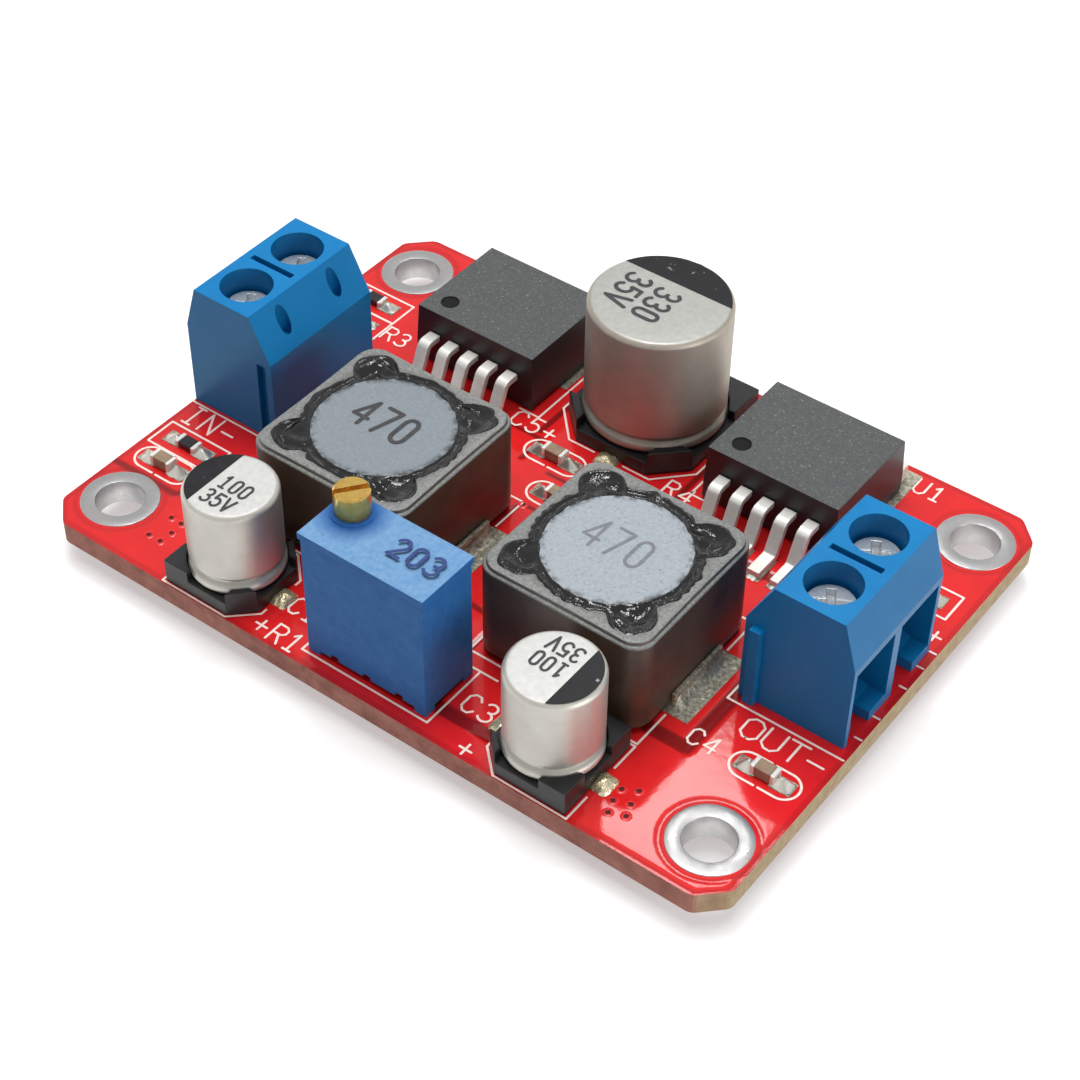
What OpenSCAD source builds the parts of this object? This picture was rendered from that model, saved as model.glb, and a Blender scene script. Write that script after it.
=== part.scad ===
// Step-up and step-down voltage converter module on a red circuit board.
// X runs from the input terminals to the output terminals, Y from the trimmer edge to the
// regulator edge, Z up. The origin is under the board's centre, level with the pin tips.

/* [Board] */
// Board length along X
board_l = 53; // [50:0.5:60]
// Board thickness
board_t = 1.6; // [1:0.1:2.4]
// Length cut off each side at a board corner
corner_cut = 1.7; // [0.8:0.1:2.2]
// Rounding at both ends of a cut corner
corner_r = 0.8; // [0.3:0.1:1.5]
// Mounting hole centre to the board's short edge
hole_inset_x = 3.1; // [2.8:0.1:4]
// Mounting hole centre to the board's long edge
hole_inset_y = 3.9; // [2.8:0.1:4.2]
// Mounting hole bore
hole_d = 3.3; // [2.6:0.1:3.6]
// Plated ring around a mounting hole
ring_d = 5.3; // [4.6:0.1:5.6]
// Plating thickness of rings and hole walls
plating_t = 0.1; // [0.05:0.01:0.2]
// Tinned pad thickness
pad_t = 0.08; // [0.04:0.01:0.15]
// Length of the trimmed pins below the board
pin_drop = 1.6; // [1.2:0.1:2.5]
// Front row of parts to the board's edge
front_gap = 0.25; // [0.1:0.05:1.5]
// Front row to the coils
row_gap = 0.6; // [0.3:0.1:2]
// Lane between the coils and the regulator leads, which holds the diodes
diode_lane = 3.6; // [3.2:0.1:6]
// Regulator tab to the board's edge
back_gap = 1.25; // [0.8:0.05:3]
// Input block to the board's edge
input_gap = 0.05; // [0:0.05:1]
// Output block to the board's edge
output_gap = 0.6; // [0:0.05:1]

/* [Terminal blocks] */
// Distance between the two ways
pitch = 5.08; // [5:0.02:5.4]
// Screw axis to the wire face
block_front = 3.4; // [3.2:0.1:4]
// Screw axis to the rear face
block_back = 4.1; // [3.9:0.1:5]
// Block height above the board
block_h = 10; // [9.6:0.1:12]
// Depth of the flat top
block_top = 4.8; // [4.2:0.1:5.2]
// Height at which the sloped faces end
shoulder_z = 6.7; // [6.4:0.1:7]
// Wire entry width
entry_w = 4.3; // [4.1:0.05:4.5]
// Top of the wire entry
entry_top = 6.1; // [5.4:0.1:6.4]
// Floor of the wire entry
floor_z = 1.3; // [0.9:0.1:1.6]
// Screwdriver well
well_d = 3.6; // [3.4:0.1:4]
// Test hole that opens in the rear slope
probe_d = 1; // [0.7:0.05:1.1]
// Clamp screw shank
screw_d = 2.5; // [2:0.1:2.6]
// Clamp screw head
head_d = 3.1; // [2.8:0.1:3.2]
// Clamp screw head height
head_h = 0.9; // [0.7:0.1:1.2]
// Travel of the rising clamp cage
clamp_travel = 1.8; // [1.2:0.1:2]
// Sheet thickness of the cage's floor and side walls
cage_wall = 0.45; // [0.3:0.05:0.6]
// Thickness of the cage's threaded roof
cage_roof = 0.7; // [0.5:0.05:0.9]
// Contact bar thickness
bar_t = 0.5; // [0.4:0.05:0.7]
// Contact bar width
bar_w = 2.3; // [1.8:0.1:2.4]
// Pin of a terminal contact
block_pin_d = 1; // [0.8:0.05:1.1]

/* [Coils] */
// Side of the square shield
coil_s = 12.3; // [11:0.1:13.5]
// Coil height above the board
coil_h = 7.65; // [6:0.05:8.5]
// Corner radius of the shield
coil_r = 1.4; // [0.8:0.1:2]
// Step around the upper edge of the shield
shield_step = 0.25; // [0.1:0.05:0.35]
// Bore of the shield
coil_bore = 10.5; // [9.8:0.1:10.8]
// Flange diameter of the drum core
drum_d = 9.5; // [8.6:0.1:9.7]
// Flange thickness of the drum core
drum_flange = 1.5; // [1:0.1:2]
// Post diameter of the drum core
drum_post = 5; // [4:0.1:6]
// Outer diameter of the winding
winding_d = 8.6; // [7:0.1:8.6]
// Glue pocket in a shield corner
pocket_d = 2.9; // [2.4:0.1:3.2]
// Glue pocket centre to the shield's sides
pocket_inset = 2.25; // [1.8:0.05:2.5]
// Width of a terminal clip
clip_w = 5.2; // [4:0.1:6]
// Sheet thickness of a terminal clip
clip_t = 0.3; // [0.2:0.05:0.4]
// Width of the pad under a terminal clip
coil_pad_w = 6.4; // [5:0.1:8]
// Reach of that pad past the shield
coil_pad_out = 1.65; // [1:0.05:1.9]

/* [Regulators] */
// Body width
reg_w = 10.16; // [9.6:0.02:10.6]
// Body depth
reg_d = 8.6; // [8.2:0.1:9.4]
// Body height above the board
reg_h = 4.5; // [4.2:0.05:4.8]
// Draft of the moulded sides
reg_draft = 0.13; // [0.05:0.01:0.3]
// Lead pitch
lead_pitch = 1.7; // [1.5:0.05:1.75]
// Lead width
lead_w = 0.9; // [0.6:0.05:1]
// Lead thickness
lead_t = 0.5; // [0.4:0.02:0.6]
// Lead reach from the body
lead_reach = 4.2; // [3.8:0.1:5]
// Height of the leads where they leave the body
lead_z = 2.55; // [2.3:0.05:2.7]
// Heat tab thickness
tab_t = 1.27; // [1:0.05:1.4]
// Heat tab reach behind the body
tab_out = 1.4; // [1:0.1:2]
// Regulator to the link capacitor
back_row_gap = 1.9; // [1.3:0.1:3]

/* [Capacitors] */
// Link capacitor can diameter
link_d = 10; // [8:0.1:10]
// Link capacitor base side
link_base = 10.3; // [10.2:0.1:11]
// Link capacitor height above the board
link_h = 10.4; // [8:0.1:12]
// Link capacitor base to the board's edge
link_gap = 1.5; // [1.2:0.1:2.5]
// Small capacitor can diameter
small_d = 6.3; // [5:0.1:6.4]
// Small capacitor base side
small_base = 6.6; // [6.5:0.1:7.4]
// Small capacitor height above the board
small_h = 7.7; // [5.4:0.1:9]
// Small capacitor base to the trimmer
small_gap = 4.4; // [2:0.1:5]
// Thickness of the moulded bases
base_t = 1; // [0.8:0.05:1.3]
// Height of the corner lugs above the base
lug_h = 0.8; // [0.4:0.1:1.2]
// Lead strip reach past a base
strip_out = 0.7; // [0.4:0.05:0.9]
// Lead strip width
strip_w = 0.9; // [0.6:0.05:1.2]
// Lead strip thickness
strip_t = 0.25; // [0.15:0.05:0.35]

/* [Trimmer] */
// Trimmer length
trim_l = 9.53; // [9.2:0.01:10]
// Trimmer width
trim_w = 4.83; // [4.7:0.01:5.4]
// Trimmer height above the board
trim_h = 10.03; // [9.4:0.01:11]
// Overhang of the top rim
trim_rim = 0.12; // [0.05:0.01:0.2]
// Wall thickness
trim_wall = 0.5; // [0.4:0.05:0.55]
// Adjusting screw head diameter
adjust_d = 2.3; // [2:0.05:2.4]
// Adjusting screw head height above its collar
adjust_h = 1.7; // [1.2:0.1:2]
// Lead screw diameter
lead_screw_d = 0.9; // [0.7:0.05:1]
// Screw axis to the housing's end
adjust_end = 1.515; // [1.45:0.005:1.6]
// Screw axis to the housing's rear side
adjust_side = 1.465; // [1.45:0.005:1.6]
// Wiper carriage height
wiper_h = 1.8; // [1.2:0.1:2]
// Trimmer pin diameter
trim_pin_d = 0.5; // [0.4:0.02:0.6]
// Trimmer pin pitch
trim_pitch = 2.54; // [2.5:0.01:2.6]

/* [Small parts] */
// Diode body length
diode_l = 4.3; // [4:0.1:4.6]
// Diode body width
diode_w = 2.6; // [2.2:0.1:2.8]
// Diode height above the board
diode_h = 2.3; // [2:0.1:2.6]
// Chip length
chip_l = 1.7; // [1.5:0.05:2]
// Chip width
chip_w = 0.9; // [0.75:0.05:1.2]
// Chip capacitor height
chip_cap_h = 0.8; // [0.6:0.05:1]
// Chip resistor height
chip_res_h = 0.45; // [0.4:0.05:0.6]
// Length of a chip's metal end
chip_end = 0.3; // [0.2:0.05:0.4]

/* [Clearances] */
// Gap of soldered and glued joints
joint_gap = 0.02; // [0.01:0.01:0.04]
// Radial gap of a thread
thread_gap = 0.05; // [0.02:0.01:0.08]
// Gap above and below a moving clamp part
clamp_gap = 0.1; // [0.06:0.02:0.16]
// Gap beside a moving part
side_gap = 0.3; // [0.2:0.05:0.35]

/* [Hidden] */
$fn = 64;
over = 1;                                   // overshoot of every cut
board_top = pin_drop + board_t;             // height of the board's upper face

// Rows, counted from the front edge of the board to the back edge
board_w = front_gap + small_base + row_gap + coil_s + diode_lane
        + lead_reach + reg_d + tab_out + back_gap;
front_y = -board_w / 2 + front_gap + small_base / 2;
coil_y = front_y + small_base / 2 + row_gap + coil_s / 2;
diode_y = coil_y + coil_s / 2 + diode_lane / 2;
reg_y = board_w / 2 - back_gap - tab_out - reg_d / 2;
link_y = board_w / 2 - link_gap - link_base / 2;
block_y = 0.1;
hole_span_x = board_l - 2 * hole_inset_x;
hole_span_y = board_w - 2 * hole_inset_y;

// Columns
in_x = -board_l / 2 + input_gap + block_front;
out_x = board_l / 2 - output_gap - block_front;
coil_in_lane = 4.25;
coil_out_lane = 2.65;
coil_in_x = in_x + block_back + coil_in_lane + coil_s / 2;
coil_out_x = out_x - block_back - coil_out_lane - coil_s / 2;
link_x = -0.2;
reg_dx = link_base / 2 + back_row_gap + reg_w / 2;
small_dx = trim_l / 2 + small_gap + small_base / 2;

// Chip parts, set out from the block, coil or capacitor that they serve
chip_caps = [
    [in_x - 0.35, block_y - pitch - 6.35],
    [link_x - 2.95, link_y - link_base / 2 - 2.3],
    [coil_out_x - coil_s / 2 - 3.95, coil_y + coil_s / 2 + 1.7],
    [out_x + 0.8, block_y - pitch - 4.55]
];
chip_resistors = [
    [in_x - 0.35, block_y - pitch - 3.95],
    [in_x - 0.6, block_y + pitch + 3.3],
    [in_x - 0.6, block_y + pitch + 5.75],
    [out_x + 0.2, block_y + pitch + 4.15]
];
chip_pad_l = 1.4;
chip_pad_w = chip_w + 0.25;

// Clamp stack of a terminal way, from the wire floor up
cage_low = floor_z + clamp_gap;             // cage underside when fully open
cage_z = cage_low + clamp_travel;           // cage underside when closed, as at rest
bar_z = cage_z + cage_wall + clamp_gap;     // contact bar underside
roof_z = bar_z + bar_t + clamp_travel + clamp_gap;
cage_h = roof_z + cage_roof - cage_z;
ceiling_z = cage_z + cage_h + clamp_gap;
seat_t = 0.45;
seat_z = ceiling_z + seat_t;                // ledge that carries the screw head
neck_gap = 0.12;
cage_w = entry_w - 2 * side_gap;
cage_lip = 0.45;                            // metal around the threaded hole
cage_u = screw_d / 2 + thread_gap + cage_lip;
leg_t = 0.4;
leg_w = 1;
leg_gap = 0.05;
leg_u = cage_u + side_gap + leg_t / 2;      // contact leg and pin, behind the screw axis
chamber_back = leg_u + leg_t / 2 + leg_gap;
chamber_front = cage_u + side_gap;
ledge_u = chamber_front + 0.2;              // front edge of the wire floor
tongue_w = 0.75;
tongue_out = 0.45;
tongue_h = shoulder_z - 0.4;
tongue_u = chamber_back + 0.3 + tongue_w / 2;
pin_collar_h = 0.5;                         // round part of a contact pin inside the floor
pin_hole_gap = 0.2;
block_hole_d = block_pin_d + 2 * pin_hole_gap;
trim_hole_d = trim_pin_d + 2 * pin_hole_gap;

// Coil stack
coil_seat = pad_t + clip_t;
pocket_at = coil_s / 2 - pocket_inset;

// Trimmer
trim_foot = 0.4;
trim_roof = 0.8;
trim_half_l = trim_l / 2 - trim_rim - trim_wall;
trim_half_w = trim_w / 2 - trim_rim - trim_wall;
adjust_x = -trim_l / 2 + adjust_end;
adjust_y = trim_w / 2 - adjust_side;
collar_d = adjust_d + 0.5;
collar_h = 0.2;
wiper_gap = 0.2;
wiper_z = 5.2;
element_t = 0.45;
seal_low = trim_foot + 0.15;
seal_top = 1.4;

// Colours, as the photograph shows them
mask_red = [0.80, 0.12, 0.14];
tin = [0.80, 0.80, 0.78];
terminal_blue = [0.12, 0.42, 0.66];
trimmer_blue = [0.22, 0.40, 0.74];
ferrite = [0.16, 0.14, 0.13];
ground_ferrite = [0.55, 0.58, 0.60];
copper = [0.72, 0.42, 0.22];
glue_black = [0.05, 0.05, 0.05];
mould_black = [0.18, 0.18, 0.18];
can_silver = [0.74, 0.72, 0.70];
brass = [0.80, 0.64, 0.28];
ceramic_tan = [0.60, 0.50, 0.40];
resin = [0.25, 0.45, 0.75];

// Points on an arc about centre c, from angle a0 to a1
function arc(c, r, a0, a1, n = 6) =
    [for (i = [0:n]) c + r * [cos(a0 + (a1 - a0) * i / n), sin(a0 + (a1 - a0) * i / n)]];

// Outline of a rectangle with round corners
function round_rect(w, d, r) = concat(
    arc([w / 2 - r, d / 2 - r], r, 0, 90),
    arc([r - w / 2, d / 2 - r], r, 90, 180),
    arc([r - w / 2, r - d / 2], r, 180, 270),
    arc([w / 2 - r, r - d / 2], r, 270, 360)
);

// Outline of a rectangle with its corners cut at 45 degrees and both ends of each cut rounded
function clipped_rect(w, d, cut, r) = [
    for (a = [0, 90, 180, 270])
        let (
            half = a % 180 == 0 ? [w, d] / 2 : [d, w] / 2,
            back = cut + r * tan(22.5),
            side = arc([half.x - r, half.y - back], r, 0, 45, 3),
            end = arc([half.x - back, half.y - r], r, 45, 90, 3)
        )
        for (p = concat(side, end)) [p.x * cos(a) - p.y * sin(a), p.x * sin(a) + p.y * cos(a)]
];

// Side outline of a bent lead: a level run, a slanted leg and a flat foot
function gull_wing(t, run, top_z, foot_z, reach, r, bend) =
    let (
        drop = top_z - foot_z - 2 * r * (1 - cos(bend)),
        leg = drop / sin(bend),
        c1 = [run, top_z - r],
        c2 = [run + 2 * r * sin(bend) + leg * cos(bend), foot_z + r]
    )
    concat(
        [[0, top_z + t / 2]],
        arc(c1, r + t / 2, 90, 90 - bend),
        arc(c2, r - t / 2, 270 - bend, 270),
        [[reach, foot_z + t / 2], [reach, foot_z - t / 2]],
        arc(c2, r + t / 2, 270, 270 - bend),
        arc(c1, r - t / 2, 90 - bend, 90),
        [[0, top_z - t / 2]]
    );

// Places on the board's upper face
module at(x, y, turn = 0) {
    translate([x, y, board_top]) rotate([0, 0, turn]) children();
}
module at_input() { at(in_x, block_y, 180) children(); }
module at_output() { at(out_x, block_y) children(); }
module at_holes() {
    for (x = [-1, 1], y = [-1, 1])
        translate([x * hole_span_x / 2, y * hole_span_y / 2, board_top]) children();
}
module at_block_pins() {
    for (y = [-1, 1]) {
        at_input() translate([-leg_u, y * pitch / 2, 0]) children();
        at_output() translate([-leg_u, y * pitch / 2, 0]) children();
    }
}
module at_trimmer_pins() {
    for (i = [-1:1]) at(i * trim_pitch, front_y) children();
}

// Box that is centred in X and Y and stands on z
module slab(w, d, z, h) {
    translate([-w / 2, -d / 2, z]) cube([w, d, h]);
}

// Moulded block whose four sides lean in above the parting height
module moulded_block(w, d, z0, z_part, z1, lean) {
    function face(s) = [[-s / 2, z0], [s / 2, z0], [s / 2, z_part], [s / 2 - lean, z1],
                        [lean - s / 2, z1], [-s / 2, z_part]];
    intersection() {
        rotate([90, 0, 0]) linear_extrude(2 * d, center = true) polygon(face(w));
        rotate([90, 0, 90]) linear_extrude(2 * w, center = true) polygon(face(d));
    }
}

// Board

module circuit_board() {
    color(mask_red)
    difference() {
        translate([0, 0, pin_drop]) linear_extrude(board_t)
            polygon(clipped_rect(board_l, board_w, corner_cut, corner_r));
        at_holes() translate([0, 0, -board_t - over])
            cylinder(d = hole_d + 2 * plating_t, h = board_t + 2 * over);
        at_block_pins() translate([0, 0, -board_t - over])
            cylinder(d = block_hole_d, h = board_t + 2 * over);
        at_trimmer_pins() translate([0, 0, -board_t - over])
            cylinder(d = trim_hole_d, h = board_t + 2 * over);
    }
}

// Rings on both faces, joined by the plated wall of the hole
module hole_plating() {
    barrel_r = hole_d / 2 + plating_t - joint_gap;
    color(tin)
    at_holes() rotate_extrude() polygon([
        [hole_d / 2, plating_t], [ring_d / 2, plating_t], [ring_d / 2, 0], [barrel_r, 0],
        [barrel_r, -board_t], [ring_d / 2, -board_t], [ring_d / 2, -board_t - plating_t],
        [hole_d / 2, -board_t - plating_t]
    ]);
}

module pad(x, y, w, d) { translate([x, y, 0]) slab(w, d, 0, pad_t); }

module coil_pads() {
    inner = 1.2;
    for (s = [-1, 1])
        pad(s * (coil_s / 2 + (coil_pad_out - inner) / 2), 0, coil_pad_out + inner, coil_pad_w);
}

module regulator_pads() {
    foot = 2.4;
    margin = 0.5;
    for (i = [-2:2])
        pad(i * lead_pitch, -reg_d / 2 - lead_reach - 0.3 + foot / 2, lead_w + 0.2, foot);
    tab_pad = reg_d / 2 + tab_out + 0.7;
    pad(0, (tab_pad + 1) / 2 - 1, reg_w + 2 * margin, tab_pad + 1);
}

module can_pads(base) {
    out = 1;
    inner = 1.4;
    for (s = [-1, 1]) pad(s * (base / 2 + (out - inner) / 2), 0, out + inner, 1.5);
}

module diode_pads() {
    out = 0.9;
    inner = 1.3;
    for (s = [-1, 1]) pad(s * (diode_l / 2 + (out - inner) / 2), 0, out + inner, 1.7);
}

module chip_pads() {
    inner = 0.25;
    for (s = [-1, 1]) pad(s * (chip_l / 2 - inner + chip_pad_l / 2), 0, chip_pad_l, chip_pad_w);
}

module solder_pads() {
    color(tin) {
        for (x = [coil_in_x, coil_out_x]) at(x, coil_y) coil_pads();
        for (s = [-1, 1]) at(link_x + s * reg_dx, reg_y) regulator_pads();
        at(link_x, link_y, 90) can_pads(link_base);
        for (s = [-1, 1]) at(s * small_dx, front_y) can_pads(small_base);
        for (x = [coil_in_x, coil_out_x]) at(x, diode_y) diode_pads();
        for (p = concat(chip_caps, chip_resistors)) at(p[0], p[1]) chip_pads();
    }
}

// Solder fills the plated hole around a pin and makes a cone below the board
module solder_joint(pin_d, bore_d, foot_d, drop) {
    r = pin_d / 2 + joint_gap;
    rotate_extrude() polygon([
        [r, -0.1], [bore_d / 2 - joint_gap, -0.1], [bore_d / 2 - joint_gap, -board_t],
        [foot_d / 2, -board_t], [foot_d / 2 - 0.1, -board_t - 0.2],
        [r + 0.35 * (foot_d / 2 - r), -board_t - 0.55 * drop],
        [r + 0.1, -board_t - drop], [r, -board_t - drop]
    ]);
}

module solder_joints() {
    color(tin) {
        at_block_pins() solder_joint(block_pin_d, block_hole_d, 2.4, 1.2);
        at_trimmer_pins() solder_joint(trim_pin_d, trim_hole_d, 1.7, 1);
    }
}

// Terminal blocks: the wire side faces +X, the two ways lie along Y

module block_housing() {
    color(terminal_blue) {
        difference() {
            union() {
                rotate([90, 0, 0]) linear_extrude(2 * pitch, center = true) polygon([
                    [-block_back, 0], [block_front, 0], [block_front, shoulder_z],
                    [block_top / 2, block_h], [-block_top / 2, block_h], [-block_back, shoulder_z]
                ]);
                translate([-tongue_u, -pitch, 0])
                    translate([-tongue_w / 2, -tongue_out, 0])
                        cube([tongue_w, tongue_out + joint_gap, tongue_h]);
            }
            for (s = [-1, 1]) translate([0, s * pitch / 2, 0]) block_way();
            divider_slot();
            translate([-tongue_u - tongue_w / 2, pitch - tongue_out, -over])
                cube([tongue_w, tongue_out + over, tongue_h + over]);
        }
        for (s = [-1, 1]) translate([0, s * pitch / 2, 0]) mouth_steps();
    }
}

// Thin slot in the top between the two wells
module divider_slot() {
    slot_w = 0.45;
    slot_depth = 1.2;
    slot_l = well_d;
    slab(slot_l, slot_w, block_h - slot_depth, slot_depth + over);
}

// Everything that is hollow in one way: clamp chamber, wire mouth, screw well and pin hole
module block_way() {
    mouth = block_front - chamber_front;
    translate([-chamber_back, -entry_w / 2, floor_z])
        cube([chamber_back + chamber_front, entry_w, ceiling_z - floor_z]);
    translate([0, -entry_w / 2, floor_z])
        cube([block_front + over, entry_w, entry_top - floor_z]);
    translate([ledge_u, -entry_w / 2, -over])
        cube([block_front - ledge_u + over, entry_w, floor_z + 2 * over]);
    rotate([90, 0, 0]) linear_extrude(entry_w, center = true) polygon([
        [ledge_u - mouth, floor_z], [ledge_u + over, floor_z - 0.45 * (mouth + over) / mouth],
        [ledge_u + over, floor_z + over], [ledge_u - mouth, floor_z + over]
    ]);
    translate([0, 0, seat_z]) cylinder(d = well_d, h = block_h - seat_z + over);
    translate([0, 0, ceiling_z - over])
        cylinder(d = screw_d + 2 * neck_gap, h = seat_z - ceiling_z + 2 * over);
    translate([-leg_u, 0, -over])
        cylinder(d = block_pin_d + 2 * clamp_gap, h = pin_collar_h + clamp_gap + over);
    translate([-leg_u, 0, 0])
        slab(leg_t + 2 * leg_gap, leg_w + 2 * clamp_gap, 0, floor_z + over);
    probe_hole();
}

// Upright test hole whose mouth is the oval that it cuts in the rear slope
module probe_hole() {
    run = block_back - block_top / 2;
    translate([-block_top / 2 - 0.42 * run, 0, ceiling_z + seat_t / 2])
        cylinder(d = probe_d, h = block_h - ceiling_z);
}

// Step beside the wire at one side of the mouth and a small corner foot at the other
module mouth_steps() {
    foot_h = 0.5;
    foot_w = 1.3;
    foot_back = 0.55;
    guide_y = 0.3;
    guide_drop = 0.45;
    bite = 0.1;
    y0 = -entry_w / 2 - bite;
    linear_extrude(foot_h) polygon([
        [ledge_u - bite, y0], [block_front, y0], [block_front - foot_back, y0 + bite + foot_w]
    ]);
    translate([ledge_u - bite, guide_y, 0])
        cube([block_front - ledge_u + bite, entry_w / 2 - guide_y + bite, floor_z - guide_drop]);
}

// Contact bar with its leg and round pin
module block_contacts() {
    bar_front = cage_u + 0.2;
    leg_z = 0.2;
    color(tin)
    for (s = [-1, 1]) translate([0, s * pitch / 2, 0]) {
        translate([-leg_u - leg_t / 2, -bar_w / 2, bar_z])
            cube([leg_u + leg_t / 2 + bar_front, bar_w, bar_t]);
        translate([-leg_u, 0, 0]) slab(leg_t, leg_w, leg_z, bar_z + bar_t / 2 - leg_z);
        translate([-leg_u, 0, -board_top]) cylinder(d = block_pin_d, h = board_top + pin_collar_h);
    }
}

// Box clamp with a threaded roof, drawn up against the contact bar by the screw
module clamp_cage() {
    color(tin)
    difference() {
        slab(2 * cage_u, cage_w, cage_z, cage_h);
        slab(2 * (cage_u + over), cage_w - 2 * cage_wall,
             cage_z + cage_wall, roof_z - cage_z - cage_wall);
        translate([0, 0, roof_z - over])
            cylinder(d = screw_d + 2 * thread_gap, h = cage_roof + 2 * over);
    }
}

// Captive screw with a cross recess
module clamp_screw() {
    slot_w = 0.55;
    slot_l = 0.75 * head_d;
    slot_depth = 0.5;
    slot_turn = 30;
    head_z = seat_z + joint_gap;
    tip_z = bar_z + bar_t + clamp_gap;
    color(tin)
    difference() {
        union() {
            translate([0, 0, head_z]) cylinder(d = head_d, h = head_h);
            translate([0, 0, tip_z]) cylinder(d = screw_d, h = head_z - tip_z + head_h / 4);
        }
        for (turn = [0, 90]) rotate([0, 0, slot_turn + turn])
            slab(slot_l, slot_w, head_z + head_h - slot_depth, slot_depth + over);
    }
}

module way(s) { translate([0, s * pitch / 2, 0]) children(); }

module input_block_housing() { at_input() block_housing(); }
module input_block_contacts() { at_input() block_contacts(); }
module input_cage_a() { at_input() way(-1) clamp_cage(); }
module input_cage_b() { at_input() way(1) clamp_cage(); }
module input_screw_a() { at_input() way(-1) clamp_screw(); }
module input_screw_b() { at_input() way(1) clamp_screw(); }
module output_block_housing() { at_output() block_housing(); }
module output_block_contacts() { at_output() block_contacts(); }
module output_cage_a() { at_output() way(-1) clamp_cage(); }
module output_cage_b() { at_output() way(1) clamp_cage(); }
module output_screw_a() { at_output() way(-1) clamp_screw(); }
module output_screw_b() { at_output() way(1) clamp_screw(); }

// Shielded power coils

module pockets(d, z, h) {
    for (x = [-1, 1], y = [-1, 1])
        translate([x * pocket_at, y * pocket_at, z]) cylinder(d = d, h = h);
}

module coil_shield() {
    color(ferrite)
    difference() {
        union() {
            translate([0, 0, coil_seat]) linear_extrude(coil_h - coil_seat - shield_step)
                polygon(round_rect(coil_s, coil_s, coil_r));
            translate([0, 0, coil_h / 2]) linear_extrude(coil_h / 2)
                polygon(round_rect(coil_s - 2 * shield_step, coil_s - 2 * shield_step, coil_r - shield_step));
        }
        translate([0, 0, coil_seat - over]) cylinder(d = coil_bore, h = coil_h + 2 * over);
        pockets(pocket_d, coil_seat - over, coil_h + 2 * over);
    }
}

module coil_core() {
    low = coil_seat + drum_flange;
    high = coil_h - drum_flange;
    color(ground_ferrite)
    rotate_extrude() polygon([
        [0, coil_seat], [drum_d / 2, coil_seat], [drum_d / 2, low], [drum_post / 2, low],
        [drum_post / 2, high], [drum_d / 2, high], [drum_d / 2, coil_h], [0, coil_h]
    ]);
}

module coil_winding() {
    low = coil_seat + drum_flange + joint_gap;
    high = coil_h - drum_flange - joint_gap;
    inner = drum_post / 2 + joint_gap;
    color(copper)
    rotate_extrude() polygon([
        [inner, low], [winding_d / 2, low], [winding_d / 2, high], [inner, high]
    ]);
}

// Tinned strips: a foot under the core and an upright at the shield's side
module coil_clips() {
    foot_in = 0.245 * coil_s;
    upright = 0.145 * coil_h;
    color(tin)
    for (s = [0, 180]) rotate([0, 0, s]) {
        translate([coil_s / 2 - foot_in, -clip_w / 2, pad_t])
            cube([foot_in + joint_gap + clip_t, clip_w, clip_t]);
        translate([coil_s / 2 + joint_gap, -clip_w / 2, pad_t]) cube([clip_t, clip_w, upright]);
    }
}

// Glue that fills the ring between drum and shield and the four corner pockets
module coil_glue() {
    depth = 1.2;
    sunk = 0.12;
    low = coil_h - sunk - depth;
    color(glue_black)
    difference() {
        union() {
            translate([0, 0, low]) cylinder(d = coil_bore - 2 * joint_gap, h = depth);
            pockets(pocket_d - 2 * joint_gap, low, depth);
        }
        translate([0, 0, low - over]) cylinder(d = drum_d + 2 * joint_gap, h = depth + 2 * over);
    }
}

module boost_coil_shield() { at(coil_in_x, coil_y) coil_shield(); }
module boost_coil_core() { at(coil_in_x, coil_y) coil_core(); }
module boost_coil_winding() { at(coil_in_x, coil_y) coil_winding(); }
module boost_coil_clips() { at(coil_in_x, coil_y) coil_clips(); }
module boost_coil_glue() { at(coil_in_x, coil_y) coil_glue(); }
module buck_coil_shield() { at(coil_out_x, coil_y) coil_shield(); }
module buck_coil_core() { at(coil_out_x, coil_y) coil_core(); }
module buck_coil_winding() { at(coil_out_x, coil_y) coil_winding(); }
module buck_coil_clips() { at(coil_out_x, coil_y) coil_clips(); }
module buck_coil_glue() { at(coil_out_x, coil_y) coil_glue(); }

// Regulators: leads towards -Y, heat tab towards +Y

// Heat tab, or with a gap around it the recess that it sits in
module tab_plate(gap) {
    tab_w = reg_w - 0.6;
    tab_in = 1.5;
    translate([-tab_w / 2 - gap, -tab_in - gap, pad_t])
        cube([tab_w + 2 * gap, tab_in + reg_d / 2 + tab_out + gap, tab_t + gap]);
}

module regulator_body() {
    dot_d = 1.3;
    dot_at = 1.7;
    dot_depth = 0.1;
    stand_off = 0.1;
    color(mould_black)
    difference() {
        moulded_block(reg_w, reg_d, pad_t + stand_off, 1.5, reg_h, reg_draft);
        tab_plate(joint_gap);
        translate([dot_at - reg_w / 2, dot_at - reg_d / 2, reg_h - dot_depth])
            cylinder(d = dot_d, h = dot_depth + over);
    }
}

module regulator_leads() {
    run = 0.85;
    bend_r = 0.45;
    bend = 66;
    color(tin)
    for (i = [-2:2]) translate([i * lead_pitch, -reg_d / 2 - joint_gap, 0])
        rotate([90, 0, -90]) linear_extrude(lead_w, center = true)
            polygon(gull_wing(lead_t, run, lead_z, pad_t + lead_t / 2, lead_reach, bend_r, bend));
}

module regulator_tab() { color(tin) tab_plate(0); }

module at_boost_regulator() { at(link_x - reg_dx, reg_y) children(); }
module at_buck_regulator() { at(link_x + reg_dx, reg_y) children(); }
module boost_regulator_body() { at_boost_regulator() regulator_body(); }
module boost_regulator_leads() { at_boost_regulator() regulator_leads(); }
module boost_regulator_tab() { at_boost_regulator() regulator_tab(); }
module buck_regulator_body() { at_buck_regulator() regulator_body(); }
module buck_regulator_leads() { at_buck_regulator() regulator_leads(); }
module buck_regulator_tab() { at_buck_regulator() regulator_tab(); }

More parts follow.
